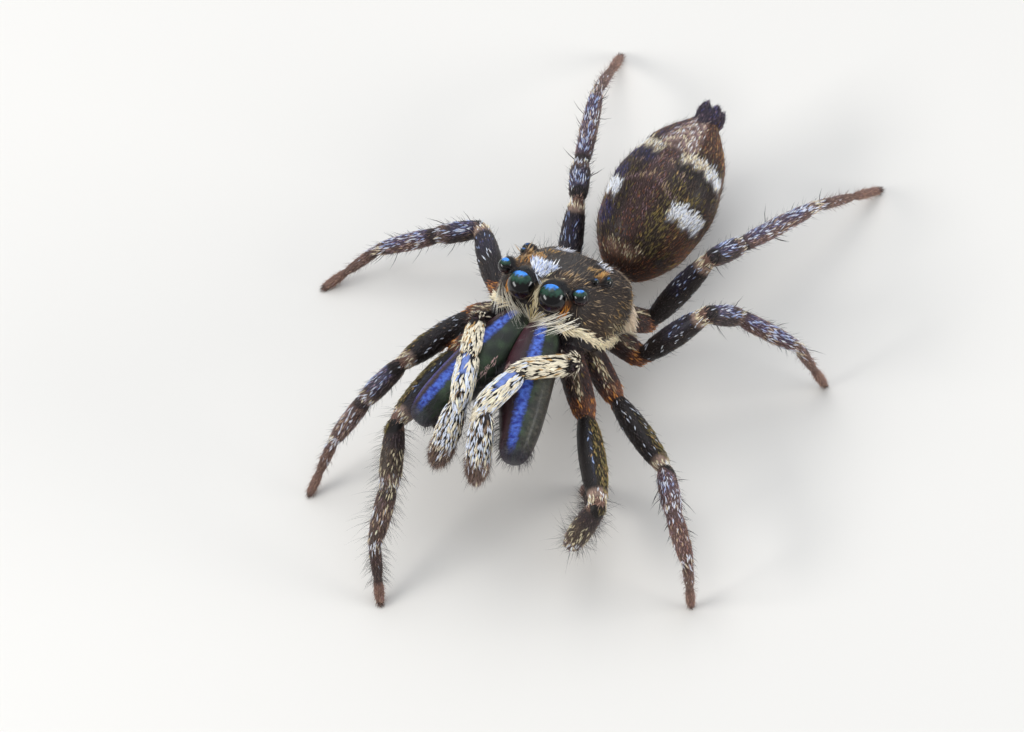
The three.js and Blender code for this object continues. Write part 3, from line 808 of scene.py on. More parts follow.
def paint_limbs(at, paint):
    """The bands of the legs, with a partly painted violet-blue sheen on their upper sides; f runs down each
    part.
    """
    f = at.f
    turn = np.degrees(at.angle) * at.side  # positive on the side that faces the front
    top = band(np.abs(turn), -1, 46, 34)
    outer = band(-turn, 14, 150, 18)
    first, second = at.pair == "1", at.pair == "2"
    hind = np.isin(at.pair, ("3", "4"))
    second_left = second * (at.side > 0)
    coxa, femur, knee, shin, shank, tarsus = (paint.on(at.part == name) for name in LEG_FLESH)
    coxa(1, 1, rust=14, brown=46, plum=20, black=20)
    coxa(top * band(f, -0.5, 0.5, 0.1), 0.7, black=50, olive=20, plum=30)
    coxa(band(f, 0.8, 1.2, 0.06), 0.75, rust=66, brown=20, orange=14)
    line = band(np.abs(turn), -1, 16, 12) * band(f, 0.3, 0.78, 0.2)
    coxa(line, 0.7, cream=40, tan=20, mauve=10, brown=30)

    femur(1, 1, black=80, brown=17, dun=3)
    femur(~first, 0.6, black=44, plum=16, brown=30, dun=5, pearl=5)
    femur(outer * second * band(f, 0.4, 0.9, 0.3), 0.6, olive=50, gold=10, black=40)
    femur(band(-turn, -30, 60, 40) * second * band(f, -1, 0.42, 0.2), 0.5, pearl=20, dun=20, black=60)
    femur(outer * first, 0.9, olive=40, gold=10, brown=10, black=40)
    femur(band(-turn, 2, 8, 6) * first * band(f, 0.2, 0.76, 0.2), 0.65, sky=50, olive=20, black=30)
    # partly painted sheen: violet and sky-blue on the upper side of the hind femora towards the knee
    femur(top * hind * band(f, 0.5, 0.84, 0.2), 0.4, violet=20, sky=20, plum=30, brown=30)
    femur(band(f, 0.87, 0.98, 0.05), 0.8, cream=40, white=15, pink=45)

    knee(1, 1, plum=42, brown=30, black=14, dun=14)
    knee(band(f, -1, 0.1, 0.06), 0.6, pink=60, brown=40)
    # partly painted sheen: violet and sky-blue on the upper side of the patellae of all but the front legs
    knee(top * ~first * band(f, 0.12, 0.7, 0.15), 0.75, violet=20, sky=26, mauve=22, pearl=20, plum=12)
    knee(second_left, 0.6, mauve=40, pink=20, pearl=20, plum=20)
    knee(first * band(f, 0.4, 1.1, 0.2), 0.5, dun=40, cream=25, brown=35)
    knee(band(f, 0.8, 1.0, 0.1), 0.5, cream=20, pearl=30, pink=20, mauve=30)

    shin(1, 1, plum=24, foot=16, mauve=20, brown=24, pearl=8, pink=8)
    shin(second_left, 0.6, plum=30, foot=30, rust=30, mauve=10)
    shin(first, 0.6, brown=50, black=22, dun=14, pink=8, cream=6)
    # partly painted sheen: violet and sky-blue on the upper side of the hind tibiae
    hind_upper_scales_and_sheen = band(np.abs(turn), -1, 40, 24) * hind * band(f, 0.08, 0.86, 0.15)
    shin(hind_upper_scales_and_sheen, 0.75, violet=30, sky=24, mauve=16, pearl=20, plum=10)
    shin(band(f, 0.3, 0.6, 0.2), 0.3, tan=30, foot=30, pearl=20, mauve=20)
    shin(band(f, 0.86, 1.05, 0.06), 0.6, cream=20, pearl=30, tan=20, mauve=30)

    shank(1, 1, foot=46, dun=14, plum=30, brown=10)
    shank(band(f, 0.36, 0.6, 0.16), 0.5, foot=50, mauve=30, pearl=20)
    shank(first, 0.6, brown=60, plum=30, dun=10)
    shank(band(f, 0.02, 0.26, 0.12), 0.4, brown=60, plum=40)
    tarsus(1, 1, foot=66, dun=18, mauve=16)
    tarsus(band(f, 0.88, 2, 0.06), 0.85, black=60, brown=40)


def paint_palps(at, paint):
    f = at.f
    turn = np.degrees(np.abs(at.angle))
    femur, knee, shin, cymbium = (paint.on(at.part == name) for name in GROUPS["palps"])
    femur(1, 1, black=55, plum=25, plate=20)
    knee(1, 1, plate=90, gold=10)
    shin(1, 1, plate=68, pearl=32)
    # partly painted sheen: the bald upper side of each palp's tibia in pale slate blue
    shin(band(f, 0.16, 0.6, 0.08) * band(turn, -1, 20, 8), 1, slate=1)
    cymbium(1, 1, pearl=45, plate=35, dun=20)
    cymbium(band(f, 0.74, 2, 0.16), 0.95, foot=20, brown=30, dun=50)
    cymbium(band(turn, 100, 181, 24), 0.9, brown=65, black=35)


def paint_all(at):
    """The markings: shares of the pigments at each place."""
    paint = Paint(len(at.points))
    paint_carapace(at, paint.on(at.part == "carapace"))
    paint_abdomen(at, paint.on(at.part == "abdomen"))
    paint_limbs(at, paint)
    paint_palps(at, paint)
    paint.lay(at.part == "spinneret", 1, black=46, violet=12, plum=32, mauve=10)
    paint.lay(at.part == "pedicel", 1, brown=60, rust=40)
    return paint.share


# ---- atlas for baking
CELLS_ACROSS = 14  # cells of the small forms in one row


def atlas(at):
    """Place of each root on an unwrap of the skin: a cell for each form, along by round."""
    small = len(MAPPED) + len(JAWS) - 2
    rows = math.ceil(small / CELLS_ACROSS)
    cells = [(0.0, 0.5, 0.5, 0.5), (0.5, 0.5, 0.5, 0.5)]
    for row, column in (divmod(i, CELLS_ACROSS) for i in range(small)):
        cells.append((column / CELLS_ACROSS, 0.5 * row / rows, 1 / CELLS_ACROSS, 0.5 / rows))
    box = np.array(cells)[at.form]
    along = np.clip(at.f * 0.86 + 0.07, 0.02, 0.98)
    turn = (at.angle / TURN + 0.5) * 0.92 + 0.04
    return np.stack([box[:, 0] + along * box[:, 2], box[:, 1] + turn * box[:, 3]], 1)


FLOOR_CLEARANCE = 0.002
PATCH = 0.003  # reach of a tuft round its root on the map
ROOT_DEPTH = {"scale": 0.004, "hair": 0.006}
KITE = [(0, 1, 3), (1, 2, 3), (0, 4, 1), (1, 4, 2), (2, 4, 3), (3, 4, 0)]
KITE_MAP = [(-0.5, 0), (0, 0.5), (0.5, 0), (0, -0.5), (0.1, 0)]
SPIKE = [(0, 2, 1)]
for near, far in ((0, 1), (1, 2), (2, 0)):
    SPIKE += [(near, far, far + 3), (near, far + 3, near + 3), (near + 3, far + 3, 6)]
SPIKE_MAP = [(-0.5, -0.4), (-0.5, 0), (-0.5, 0.4), (0, -0.4), (0, 0), (0, 0.4), (0.5, 0)]


# ---- tufts
def tufts(at, points, faces, colours, spread):
    """Vertices, triangles, colours and bake map of one tuft at each place."""
    tris = np.array(faces)[None] + (np.arange(len(at.points)) * len(points))[:, None, None]
    uv = atlas(at)[:, None, :] + PATCH * np.array(spread)
    stacks = np.stack(points, 1), tris, np.stack(colours, 1), uv
    return [rows.reshape(-1, rows.shape[-1]) for rows in stacks]


def scales(at, way, length, width, lift, root_colour, tip_colour):
    """Flat pointed scales: a kite with a raised midrib, six triangles each."""
    p, n = at.points, at.normals
    side = np.cross(way, n)
    length, width, lift = length[:, None], width[:, None], lift[:, None]
    root = p - n * ROOT_DEPTH["scale"]
    middle = p + way * length * 0.48
    left = middle + side * width / 2 + n * lift * 0.35
    right = middle - side * width / 2 + n * lift * 0.35
    ridge = p + way * length * 0.42 + n * (lift * 0.55 + width * 0.28)
    tip = p + way * length + n * lift
    return tufts(at, [root, left, tip, right, ridge], KITE, [root_colour] + [tip_colour] * 4, KITE_MAP)


def hairs(at, way, length, radius, bend, root_colour, tip_colour):
    """Tapering three-sided hairs; bend moves the tip that far along the given directions."""
    side = unit(np.cross(way, at.normals))
    third = np.cross(side, way)
    length, radius = length[:, None], radius[:, None]
    rings = []
    for f, thick in ((0.0, 1.0), (0.5, 0.8)):
        centre = at.points - at.normals * ROOT_DEPTH["hair"] * (1 - f) + way * length * f + bend * f * f
        for angle in (TURN * k / 3 for k in range(3)):
            rings.append(centre + (side * math.cos(angle) + third * math.sin(angle)) * radius * thick)
    rings.append(at.points + way * length + bend)
    colours = [root_colour] * 3 + [(root_colour + tip_colour) / 2] * 3 + [tip_colour]
    return tufts(at, rings, SPIKE, colours, SPIKE_MAP)


def coat_piece(name, parts, material, slot):
    """Joins tufts into one piece with its colours and bake map."""
    verts, tris = joined([part[:2] for part in parts])
    verts[:, 2] = np.maximum(verts[:, 2], FLOOR_CLEARANCE)
    obj = make_object(name, verts, tris, np.concatenate([part[2] for part in parts]), smooth=False)
    corners = fetch(obj.data.loops, "vertex_index", 1, np.int32)[:, 0]
    uv = np.concatenate([part[3] for part in parts])
    put(obj.data.uv_layers.new(name="OFBake").data, "uv", uv[corners])
    print(f"{name}: {len(tris)} triangles")
    own(obj, material, slot)


def scatter(points, tris, normals, spacing, oversample=4):
    """Random places on the skin, at most one in each cell of the given size."""
    p = points[tris]
    area = np.linalg.norm(np.cross(p[:, 1] - p[:, 0], p[:, 2] - p[:, 0]), axis=1) / 2
    count = int(area.sum() / spacing**2 * oversample)
    pick = rng.choice(len(tris), count, p=area / area.sum())
    a, b = rng.random(count), rng.random(count)
    flip = a + b > 1
    a[flip], b[flip] = 1 - a[flip], 1 - b[flip]
    weights = np.stack([1 - a - b, a, b], 1)[:, :, None]
    spots = (p[pick] * weights).sum(1)
    facing = unit((normals[tris[pick]] * weights).sum(1))
    cells = np.floor(spots / spacing).astype(int)
    _, first = np.unique(cells, axis=0, return_index=True)
    return spots[first], facing[first]


def clear_of_eyes(at):
    return (eye_gaps(at) > 1.04).all(0)


def pick_colours(share, wild=0.16):
    """One pigment for each scale, by the shares where it grows, with a little variation."""
    total = np.cumsum(share, axis=1)
    chosen = (rng.random((len(share), 1)) * total[:, -1:] > total).sum(1)
    colour = SCALE_COLOURS[np.minimum(chosen, len(NAMES) - 1)]
    shade = np.exp(rng.normal(0, wild, (len(share), 1)))
    return np.clip(colour * shade, 0, 1), chosen


def tilted(way, normals, degrees, spin=12):
    """The lie, raised from the skin and turned a little to each side at random."""
    side = np.cross(way, normals)
    twist = np.radians(rng.normal(0, spin, len(way)))[:, None]
    flat = way * np.cos(twist) + side * np.sin(twist)
    rise = np.radians(degrees)[:, None]
    return unit(flat * np.cos(rise) + normals * np.sin(rise))


# ---- materials
def plug(tree, node, sockets):
    """Links each socket of another node and sets every other value."""
    for key, value in sockets.items():
        if isinstance(value, bpy.types.NodeSocket):
            tree.links.new(value, node.inputs[key])
        else:
            node.inputs[key].default_value = value


def add(tree, kind, sockets, operation=None):
    node = tree.nodes.new("ShaderNode" + kind)
    if operation:
        node.operation = operation
    plug(tree, node, sockets)
    return node


def attribute(tree, name):
    node = add(tree, "Attribute", {})
    node.attribute_name = name
    return node


def new_material(name, finish):
    material = bpy.data.materials.new(name)
    material.use_nodes = True
    tree = material.node_tree
    tree.nodes.clear()
    shader = add(tree, "BsdfPrincipled", finish)
    add(tree, "OutputMaterial", {"Surface": shader.outputs[0]})
    return material, tree, shader


def tinted(name, roughness, specular, coat=0.0, contrast=0.35, noise_scale=(3, 20, 1), bump=0.0):
    """Colour from the tint attribute, varied by a noise stretched along the grain."""
    finish = {"Roughness": roughness, "Specular IOR Level": specular}
    material, tree, shader = new_material(name, {**finish, "Coat Weight": coat, "Coat Roughness": 0.2})
    grain = attribute(tree, "grain").outputs["Vector"]
    stretch = add(tree, "VectorMath", {0: grain, 1: noise_scale}, "MULTIPLY")
    noise = add(tree, "TexNoise", {"Vector": stretch.outputs[0], "Scale": 4, "Detail": 4}).outputs["Fac"]
    limits = {"From Min": 0.3, "From Max": 0.7, "To Min": 1 - contrast, "To Max": 1 + contrast}
    shade = add(tree, "MapRange", {"Value": noise, **limits}).outputs[0]
    tint = attribute(tree, "tint").outputs["Color"]
    colour = add(tree, "VectorMath", {0: tint, "Scale": shade}, "SCALE").outputs[0]
    plug(tree, shader, {"Base Color": colour})
    if bump:
        relief = add(tree, "Bump", {"Strength": bump, "Distance": 0.01 * MM, "Height": noise})
        plug(tree, shader, {"Normal": relief.outputs[0]})
    return material


def tuft_material(name, roughness, specular):
    """Scales and hairs: colour from the tint attribute, a soft gloss."""
    material, tree, shader = new_material(name, {"Roughness": roughness, "Specular IOR Level": specular})
    plug(tree, shader, {"Base Color": attribute(tree, "tint").outputs["Color"]})
    return material


# ---- build: skin
FLESH = (
    "carapace", "sternum", "abdomen", "pedicel", "spinnerets", "palp", "coxa", "femur", "tibia", "foot",
)
skin_points, skin_tris = make_skin()
skin_normals = vertex_normals(skin_points, skin_tris)
skin_place = Place(skin_points, skin_normals)
skin_tint = paint_all(skin_place) @ SKIN_COLOURS
skin = make_object("skin", skin_points, skin_tris, skin_tint, skin_place.grain())
skin_nodes = [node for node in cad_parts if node.split("_")[0] in FLESH]
own(skin, tinted("cuticle", 0.45, 0.22, coat=0.05, bump=0.6), "underside", *skin_nodes)

# ---- build: coat
scale_finish = tuft_material("scale_coat", 0.42, 0.3)
hair_finish = tuft_material("bristles", 0.4, 0.5)

spots, facing = scatter(skin_points, skin_tris, skin_normals, SCALE_SPACING)
everywhere = Place(spots, facing)
share_everywhere = paint_all(everywhere)

# pigments whose scales are longer and wider, and how much so in each group
PALE_PIGMENTS = ("white", "cream", "tan", "gold", "orange", "olive", "sky", "pearl")
PALE_STRETCH = {"carapace": (1.89, 1.725), "abdomen": (1.35, 1.5), "legs": (1.5, 1.8), "feet": (1.35, 1.5)}
BRISTLE = linear(40, 32, 32)


def share_of(share, *names):
    return sum(share[:, NAMES.index(n)] for n in names)


def varied(value, count, spread=0.2):
    return value * np.exp(rng.normal(0, spread, count))


def dyed(colour, count, spread=0.12):
    return np.clip(colour * np.exp(rng.normal(0, spread, (count, 1))), 0, 1)


def grow_coat(group):
    """The flat scales of one part of the body, coloured by the markings."""
    chance, length, width, rise = COATS[group]
    here = np.isin(everywhere.part, GROUPS[group]) & clear_of_eyes(everywhere)
    long_pale = share_of(share_everywhere, "strand", "plate")
    pale = share_of(share_everywhere, "white", "cream", "orange", "gold", "olive")
    dark = share_of(share_everywhere, "black", "violet")
    chance = (chance * (1 - 0.5 * dark) + 0.3 * pale) * (1 - long_pale)
    if group == "carapace":
        chance = chance * (1 - 0.85 * eye_field(everywhere.local) * (pale < 0.3))
    if group == "legs":
        inner = everywhere.angle * everywhere.side
        smooth = (everywhere.part == "femur") & (everywhere.pair == "1") & (np.abs(inner - 1.4) < 1.3)
        chance = chance * np.where(smooth & (pale < 0.3), 0.12, 1)
    here &= rng.random(len(here)) < chance
    at = everywhere.take(here)
    share = share_everywhere[here]
    colour, chosen = pick_colours(share)
    colour = colour * 0.65 + share @ SCALE_COLOURS * 0.35
    pale = np.isin(chosen, [NAMES.index(n) for n in PALE_PIGMENTS])
    pale_length, pale_width = PALE_STRETCH[group]
    long = varied(length, len(colour)) * np.where(pale, pale_length, 0.9)
    wide = varied(width, len(colour), 0.15) * np.where(pale, pale_width, 0.9)
    way = tilted(at.lie(), at.normals, rng.normal(1, 1, len(colour)))
    lift = long * np.tan(np.radians(np.abs(rng.normal(rise, 2, len(colour)))))
    return scales(at, way, long, wide, lift, colour * 0.8, colour)


def at_random(where, count):
    """About that many of the places, chosen by a weight for each."""
    weight = np.clip(np.asarray(where, float), 0, 1)
    return everywhere.take(rng.random(len(weight)) < weight * count / max(weight.sum(), 1e-9))


def bristles(where, count, length, radius, rise, colour=BRISTLE, spin=20):
    """Separate fine hairs that stand off the skin, raised by about rise degrees."""
    at = at_random(where, count)
    n = len(at.points)
    way = tilted(at.lie(), at.normals, rng.normal(rise, 9, n), spin)
    long = np.minimum(varied(length, n, 0.3), length * 1.4)
    tint = dyed(colour, n)
    return hairs(at, way, long, varied(radius, n, 0.15), at.lie() * (long * 0.25)[:, None], tint, tint)


def clypeus_strands():
    """Long pale hairs that sweep down the face and meet under the middle eyes."""
    x, y, z = everywhere.local.T
    place = (everywhere.part == "carapace") & clear_of_eyes(everywhere)
    low = 0.24 + 0.06 * np.clip((np.abs(x) - 0.4) / 0.3, 0, 1)
    face = place * band(z, low, 0.5, 0.04) * band(y, -2, -0.96, 0.05)
    face = face * band(np.abs(x), -1, 0.72, 0.06) * np.interp(x, [-0.2, 0.1, 0.3], [0.65, 0.9, 0.55])
    at = at_random(face, 118)
    n = len(at.points)
    side = np.sign(at.local[:, 0])
    meet = np.stack([side * 0.02, np.full(n, -1.2), np.full(n, 0.15)], 1)
    target = meet @ CARAPACE_AXES + CARAPACE_ORIGIN
    way = unit(along_skin(unit(target - at.points), at.normals) + 1e-6)
    way = unit(way + at.normals * 0.14)
    reach = np.linalg.norm(target - at.points, axis=1)
    long = varied(1.0, n, 0.2) * np.clip(reach * 0.95, 0.16, 0.52)
    sweep = np.stack([-side * 0.04, np.full(n, -0.02), np.full(n, -0.03)], 1) @ CARAPACE_AXES
    middle = (np.abs(at.local[:, 0] - 0.1) < 0.24)[:, None]
    warm = middle & (rng.random((n, 1)) < 0.5)
    tint = np.where(warm, linear(222, 200, 142), linear(248, 240, 222)) * np.exp(rng.normal(0, 0.12, (n, 1)))
    root, tip = np.clip(tint * 0.9, 0, 1), np.clip(tint, 0, 1)
    return hairs(at, way, long, varied(0.0046, n, 0.2), sweep, root, tip)


def margin_scales():
    """The pale band of long scales along the lower edge of the head."""
    at = at_random((everywhere.part == "carapace") * margin(everywhere.local), 760)
    n = len(at.points)
    back = np.clip((at.local[:, 1] + 0.95) / 0.9, 0, 1)
    side = np.sign(at.local[:, 0])
    local = np.stack([side * 0.5 * (1 - back), 0.55 + 0 * back, -0.2 - 0.6 * back], 1)
    way = unit(along_skin(unit(local @ CARAPACE_AXES), at.normals))
    way = tilted(way, at.normals, rng.normal(4, 3, n), 12)
    rear = np.clip((at.local[:, 1] + 0.2) / 0.4, 0, 1)
    long = varied(0.15, n) * (1 + 0.5 * rear)
    tint = dyed(linear(240, 226, 194), n) * (1 - rear[:, None])
    tint = tint + dyed(linear(236, 220, 200), n) * rear[:, None]
    return scales(at, way, long, varied(0.018, n, 0.15), long * (0.1 + 0.2 * rear), tint * 0.8, tint)


def crown_scales():
    """The fan of blue-white scales that spreads back from between the middle eyes, about a third tinted a
    deeper blue as painted shade.
    """
    _, y, z = everywhere.local.T
    crown = (everywhere.part == "carapace") & (y < -0.6) & (z > 0.66)
    chance = 1.3 * share_of(share_everywhere, "pearl", "white") * crown
    at = everywhere.take(rng.random(len(chance)) < chance)
    n = len(at.points)
    x, y, z = at.local.T
    local = np.stack([(x + 0.1) * 2.0, y + 1.3, 0.25 + 0 * z], 1)
    way = tilted(unit(local @ CARAPACE_AXES), at.normals, rng.normal(10, 6, n), 20)
    long = varied(0.095, n)
    # about a third of the scales are tinted cool blue as painted shade among the white ones
    tint = np.where(rng.random((n, 1)) < 0.35, linear(186, 200, 236), linear(244, 246, 252))
    tint = tint * np.exp(rng.normal(0, 0.1, (n, 1)))
    return scales(at, way, long, varied(0.019, n, 0.15), long * 0.12, tint * 0.75, np.clip(tint, 0, 1))


def plates():
    """The big flat scales of the palps, laid like tiles over black skin."""
    palp = np.isin(skin_place.part, GROUPS["palps"])
    palp_tris = skin_tris[palp[skin_tris].all(1)]
    spots, facing = scatter(skin_points, palp_tris, skin_normals, PLATE_SPACING, 8)
    at = Place(spots, facing)
    share = paint_all(at)
    keep = rng.random(len(spots)) < 0.92 * share_of(share, "plate", "pearl", "gold")
    at = at.take(keep)
    n = len(at.points)
    colour, _ = pick_colours(share[keep], 0.1)
    size = np.where(at.part == "cymbium", 0.78, 1.0) * np.where(at.part == "palpfemur", 0.8, 1.0)
    size = size * np.where((at.part == "palppatella") & (at.f > 0.82), 0.6, 1.0)
    way = tilted(at.lie(), at.normals, rng.normal(0, 1, n), 9)
    long = varied(0.165, n, 0.2) * size
    wide = varied(0.034, n, 0.15) * size
    return scales(at, way, long, wide, long * 0.07, colour * 0.75, np.clip(colour, 0, 1))


def palp_bristles():
    """Dense fine hair round the tips, a spiny tuft at the knees and hairs along the sides."""
    part, f = everywhere.part, everywhere.f
    tip = (part == "cymbium") * band(f, 0.68, 2, 0.16)
    knee = (part == "palppatella") * band(f, -1, 0.16, 0.05)
    knee = knee + (part == "palpfemur") * band(f, 0.86, 2, 0.05)
    sides = np.isin(part, ("palppatella", "palptibia", "cymbium"))
    tip_hair = linear(142, 114, 100)
    return [
        bristles(tip, 4400, 0.062, 0.003, 34, tip_hair, 20),
        bristles(tip, 600, 0.095, 0.0022, 48, linear(96, 76, 68), 24),
        bristles(knee, 150, 0.13, 0.0042, 62, linear(76, 56, 56), 40),
        bristles(part == "palpfemur", 260, 0.1, 0.0034, 56, linear(60, 46, 46), 30),
        bristles(sides, 420, 0.15, 0.0024, 48, linear(60, 48, 46)),
    ]


def leg_bristles():
    """Fringes of long hairs, thickest on the front legs, and a few strong spines."""
    part, f = everywhere.part, everywhere.f
    front = everywhere.pair == "1"
    low = np.abs(np.degrees(everywhere.angle)) > 60
    outer = np.isin(part, ("patella", "tibia"))
    return [
        bristles(outer & front, 760, 0.16, 0.0017, 60),
        bristles(outer & front & low, 300, 0.26, 0.0017, 68),
        bristles(outer & ~front, 1500, 0.1, 0.0018, 52),
        bristles(part == "femur", 800, 0.12, 0.0018, 50),
        bristles(part == "coxa", 350, 0.12, 0.0018, 50),
        bristles(outer & low & (rng.random(len(f)) < 0.4), 110, 0.19, 0.006, 48, linear(40, 28, 26)),
    ]


def foot_bristles():
    part, f = everywhere.part, everywhere.f
    front = everywhere.pair == "1"
    claw = (part == "tarsus") * band(f, 0.84, 2, 0.04)
    return [
        bristles((part == "metatarsus") & front, 420, 0.16, 0.0019, 58),
        bristles((part == "metatarsus") & ~front, 700, 0.09, 0.0018, 52, linear(110, 78, 66)),
        bristles(part == "tarsus", 1300, 0.06, 0.0019, 40, linear(140, 102, 86)),
        bristles(claw, 1000, 0.06, 0.0028, 32, linear(70, 52, 46)),
    ]


def head_bristles():
    """Upright black hairs over the head, finer ones on its sides."""
    _, y, z = everywhere.local.T
    head = (everywhere.part == "carapace") & clear_of_eyes(everywhere)
    top = head * band(z, 0.5, 2, 0.1) * band(y, -1.1, 0.2, 0.2)
    brow = head * band(z, 0.66, 2, 0.1) * band(y, -1.12, -0.8, 0.05)
    return [
        bristles(top, 170, 0.18, 0.0024, 64),
        bristles(brow, 46, 0.2, 0.0026, 66),
        bristles(head, 900, 0.075, 0.0022, 30, linear(150, 128, 104)),
        bristles(head * band(z, -0.15, 0.55, 0.1), 500, 0.09, 0.0022, 34),
    ]


def abdomen_bristles():
    here = everywhere.part == "abdomen"
    rear = everywhere.part == "spinneret"
    return [
        bristles(here, 2600, 0.1, 0.0019, 20, linear(96, 76, 66)),
        bristles(here, 420, 0.12, 0.0019, 42),
        bristles(rear, 300, 0.06, 0.0022, 30, linear(80, 68, 80)),
    ]


FINE_HAIRS = {
    "carapace": lambda: [clypeus_strands(), margin_scales(), crown_scales(), *head_bristles()],
    "abdomen": abdomen_bristles,
    "legs": leg_bristles,
    "feet": foot_bristles,
}
MOST_TRIANGLES = 190000


def shares_of(verts, tris, colour, uv, pieces):
    """The same tufts in that many groups, cut between six-triangle scales."""
    size = math.ceil(len(tris) / 6 / pieces)
    for k in range(pieces):
        t, v = (slice(k * size * n, (k + 1) * size * n) for n in (6, 5))
        yield verts[v], tris[t] - k * size * 5, colour[v], uv[v]


for group in COATS:
    coat = grow_coat(group)
    pieces = math.ceil(len(coat[1]) / MOST_TRIANGLES)
    for letter, part in zip("abcdef", shares_of(*coat, pieces)):
        coat_piece(f"{group}_scales_{letter}", [part], scale_finish, SLOTS[group])
    coat_piece(f"{group}_hairs", FINE_HAIRS[group](), hair_finish, SLOTS[group])
coat_piece("palp_plates", [plates()], scale_finish, SLOTS["palps"])
coat_piece("palp_hairs", palp_bristles(), hair_finish, SLOTS["palps"])


# ---- build: jaws and eyes
def blotches(u, v, seed):
    """Smooth random values from 0 to 1, one lump to each unit of u and v."""
    table = np.random.default_rng(seed).random((64, 64))
    i, j = np.floor(u).astype(int), np.floor(v).astype(int)
    a, b = u - i, v - j
    a, b = a * a * (3 - 2 * a), b * b * (3 - 2 * b)
    low = table[i % 64, j % 64] * (1 - a) + table[(i + 1) % 64, j % 64] * a
    high = table[i % 64, (j + 1) % 64] * (1 - a) + table[(i + 1) % 64, (j + 1) % 64] * a
    return low * (1 - b) + high * b


def paint_jaw(side, f, turn):
    """A blue stripe down the ridge, partly the jaw's own blue and partly painted sheen, green beside it and
    maroon towards the other edge, with painted highlights along the right jaw's edge and over the tip.
    """
    colour = np.tile(linear(30, 18, 20), (len(f), 1))

    def lay(weight, rgb):
        nonlocal colour
        weight = np.clip(weight, 0, 1)[:, None]
        colour = colour * (1 - weight) + linear(*rgb) * weight

    seed = 11 if side == "left" else 12
    grain = blotches(f * 90, turn / 9, seed)
    lumps = blotches(f * 22, turn / 22, seed + 4)
    ragged = 7 * (blotches(f * 150, turn / 4, seed + 8) - 0.5)
    ragged = ragged + 4 * (blotches(f * 45, turn / 14, seed) - 0.5)
    lay(band(turn, 26, 150, 20), (50, 24, 30))
    lay(band(turn, 40, 130, 20) * band(f, -1, 0.3, 0.3) * lumps, (74, 34, 44))
    lay(band(turn + ragged, -80, -6, 16) * (0.6 + 0.4 * lumps), (26, 36, 28))
    green = band(turn + ragged, -66, -12, 14) * np.clip(1.6 * lumps - 0.3, 0, 1)
    lay(green * (0.5 + 0.5 * grain), (58, 76, 50))
    if side == "left":
        outer = band(turn + ragged, -140, -30, 24) * band(f, 0.3, 2, 0.3)
        lay(outer * 0.8, (44, 42, 36))
        lay(outer * np.clip(1.8 * grain - 0.7, 0, 1) * 0.6, (82, 76, 64))
    else:
        # painted highlight: a violet-blue band along the right jaw's edge towards the tip
        lay(band(turn, 40, 68, 14) * band(f, 0.45, 0.96, 0.15) * (0.4 + 0.6 * grain), (60, 62, 150))
    # the blue stripe: the jaw's iridescent blue, laid where its sheen catches the light, so partly painted
    # sheen
    blue_sheen_stripe = band(turn + ragged, -11, 16, 12) * band(f, 0.02, 0.94, 0.08)
    lay(blue_sheen_stripe, (28, 42, 132))
    # painted highlight: bright blue speckles over the stripe, strongest near the base
    lay(blue_sheen_stripe * np.clip(1.7 * grain - 0.25, 0, 1) * (0.95 - 0.4 * f), (88, 126, 226))
    # painted highlight: a grey-blue sheen over the jaw's tip
    lay(band(f, 0.93, 2, 0.04) * 0.7, (46, 46, 58))
    return colour


def make_jaw(side):
    form = JAWS[side]
    verts, tris = closed_form(form.surface(144, 220))
    f = form.locate(verts)[1]
    off = verts - form.axis_point(f)
    turn = np.degrees(np.arctan2(off @ form.axes[0], off @ form.axes[2]))
    grain = np.stack([f * form.length, turn / 60, 0 * f], 1)
    obj = make_object(f"jaw_{side}", verts, tris, paint_jaw(side, f, turn), grain)
    material = tinted(f"jaw_{side}", 0.34, 0.3, coat=0.12, contrast=0.6, noise_scale=(22, 9, 1), bump=1.0)
    own(obj, material, "chelicera", f"chelicera_{side}")


class Bed:
    """Places on a jaw for its hairs, with what the tuft builders read."""

    def __init__(self, number, form, f, angle):
        self.points, self.normals = form.on_skin(f, angle)
        self.form = np.full(len(f), len(MAPPED) + number)
        self.f, self.angle, self.way = f, angle, form.lie(self.points)


def jaw_hairs(number, side):
    """Black hairs on the inner edge and tip, and the row of short pinkish ones on the margin."""
    form = JAWS[side]
    inward = form.inward
    parts = []
    # count, f from, f to, angle from, angle to, length, radius, rise, colour
    rows = [
        (200, 0.3, 0.9, 60, 120, 0.15, 0.0026, 46, linear(26, 20, 22)),
        (46, 0.34, 0.62, 52, 60, 0.065, 0.0042, 24, linear(206, 168, 160)),
        (240, 0.86, 0.99, 0, 360, 0.1, 0.0025, 34, linear(56, 46, 50)),
        (120, 0.04, 0.95, -110, 60, 0.1, 0.0024, 48, linear(40, 32, 36)),
    ]
    for count, low, high, start, stop, length, radius, rise, colour in rows:
        f = rng.uniform(low, high, count)
        angle = np.radians(rng.uniform(start, stop, count)) * inward
        at = Bed(number, form, f, angle)
        way = tilted(at.way, at.normals, rng.normal(rise, 8, count), 20)
        long = varied(length, count, 0.25)
        bend = at.way * (long * 0.3)[:, None]
        thick = varied(radius, count, 0.15)
        parts.append(hairs(at, way, long, thick, bend, dyed(colour, count), dyed(colour, count)))
    return parts


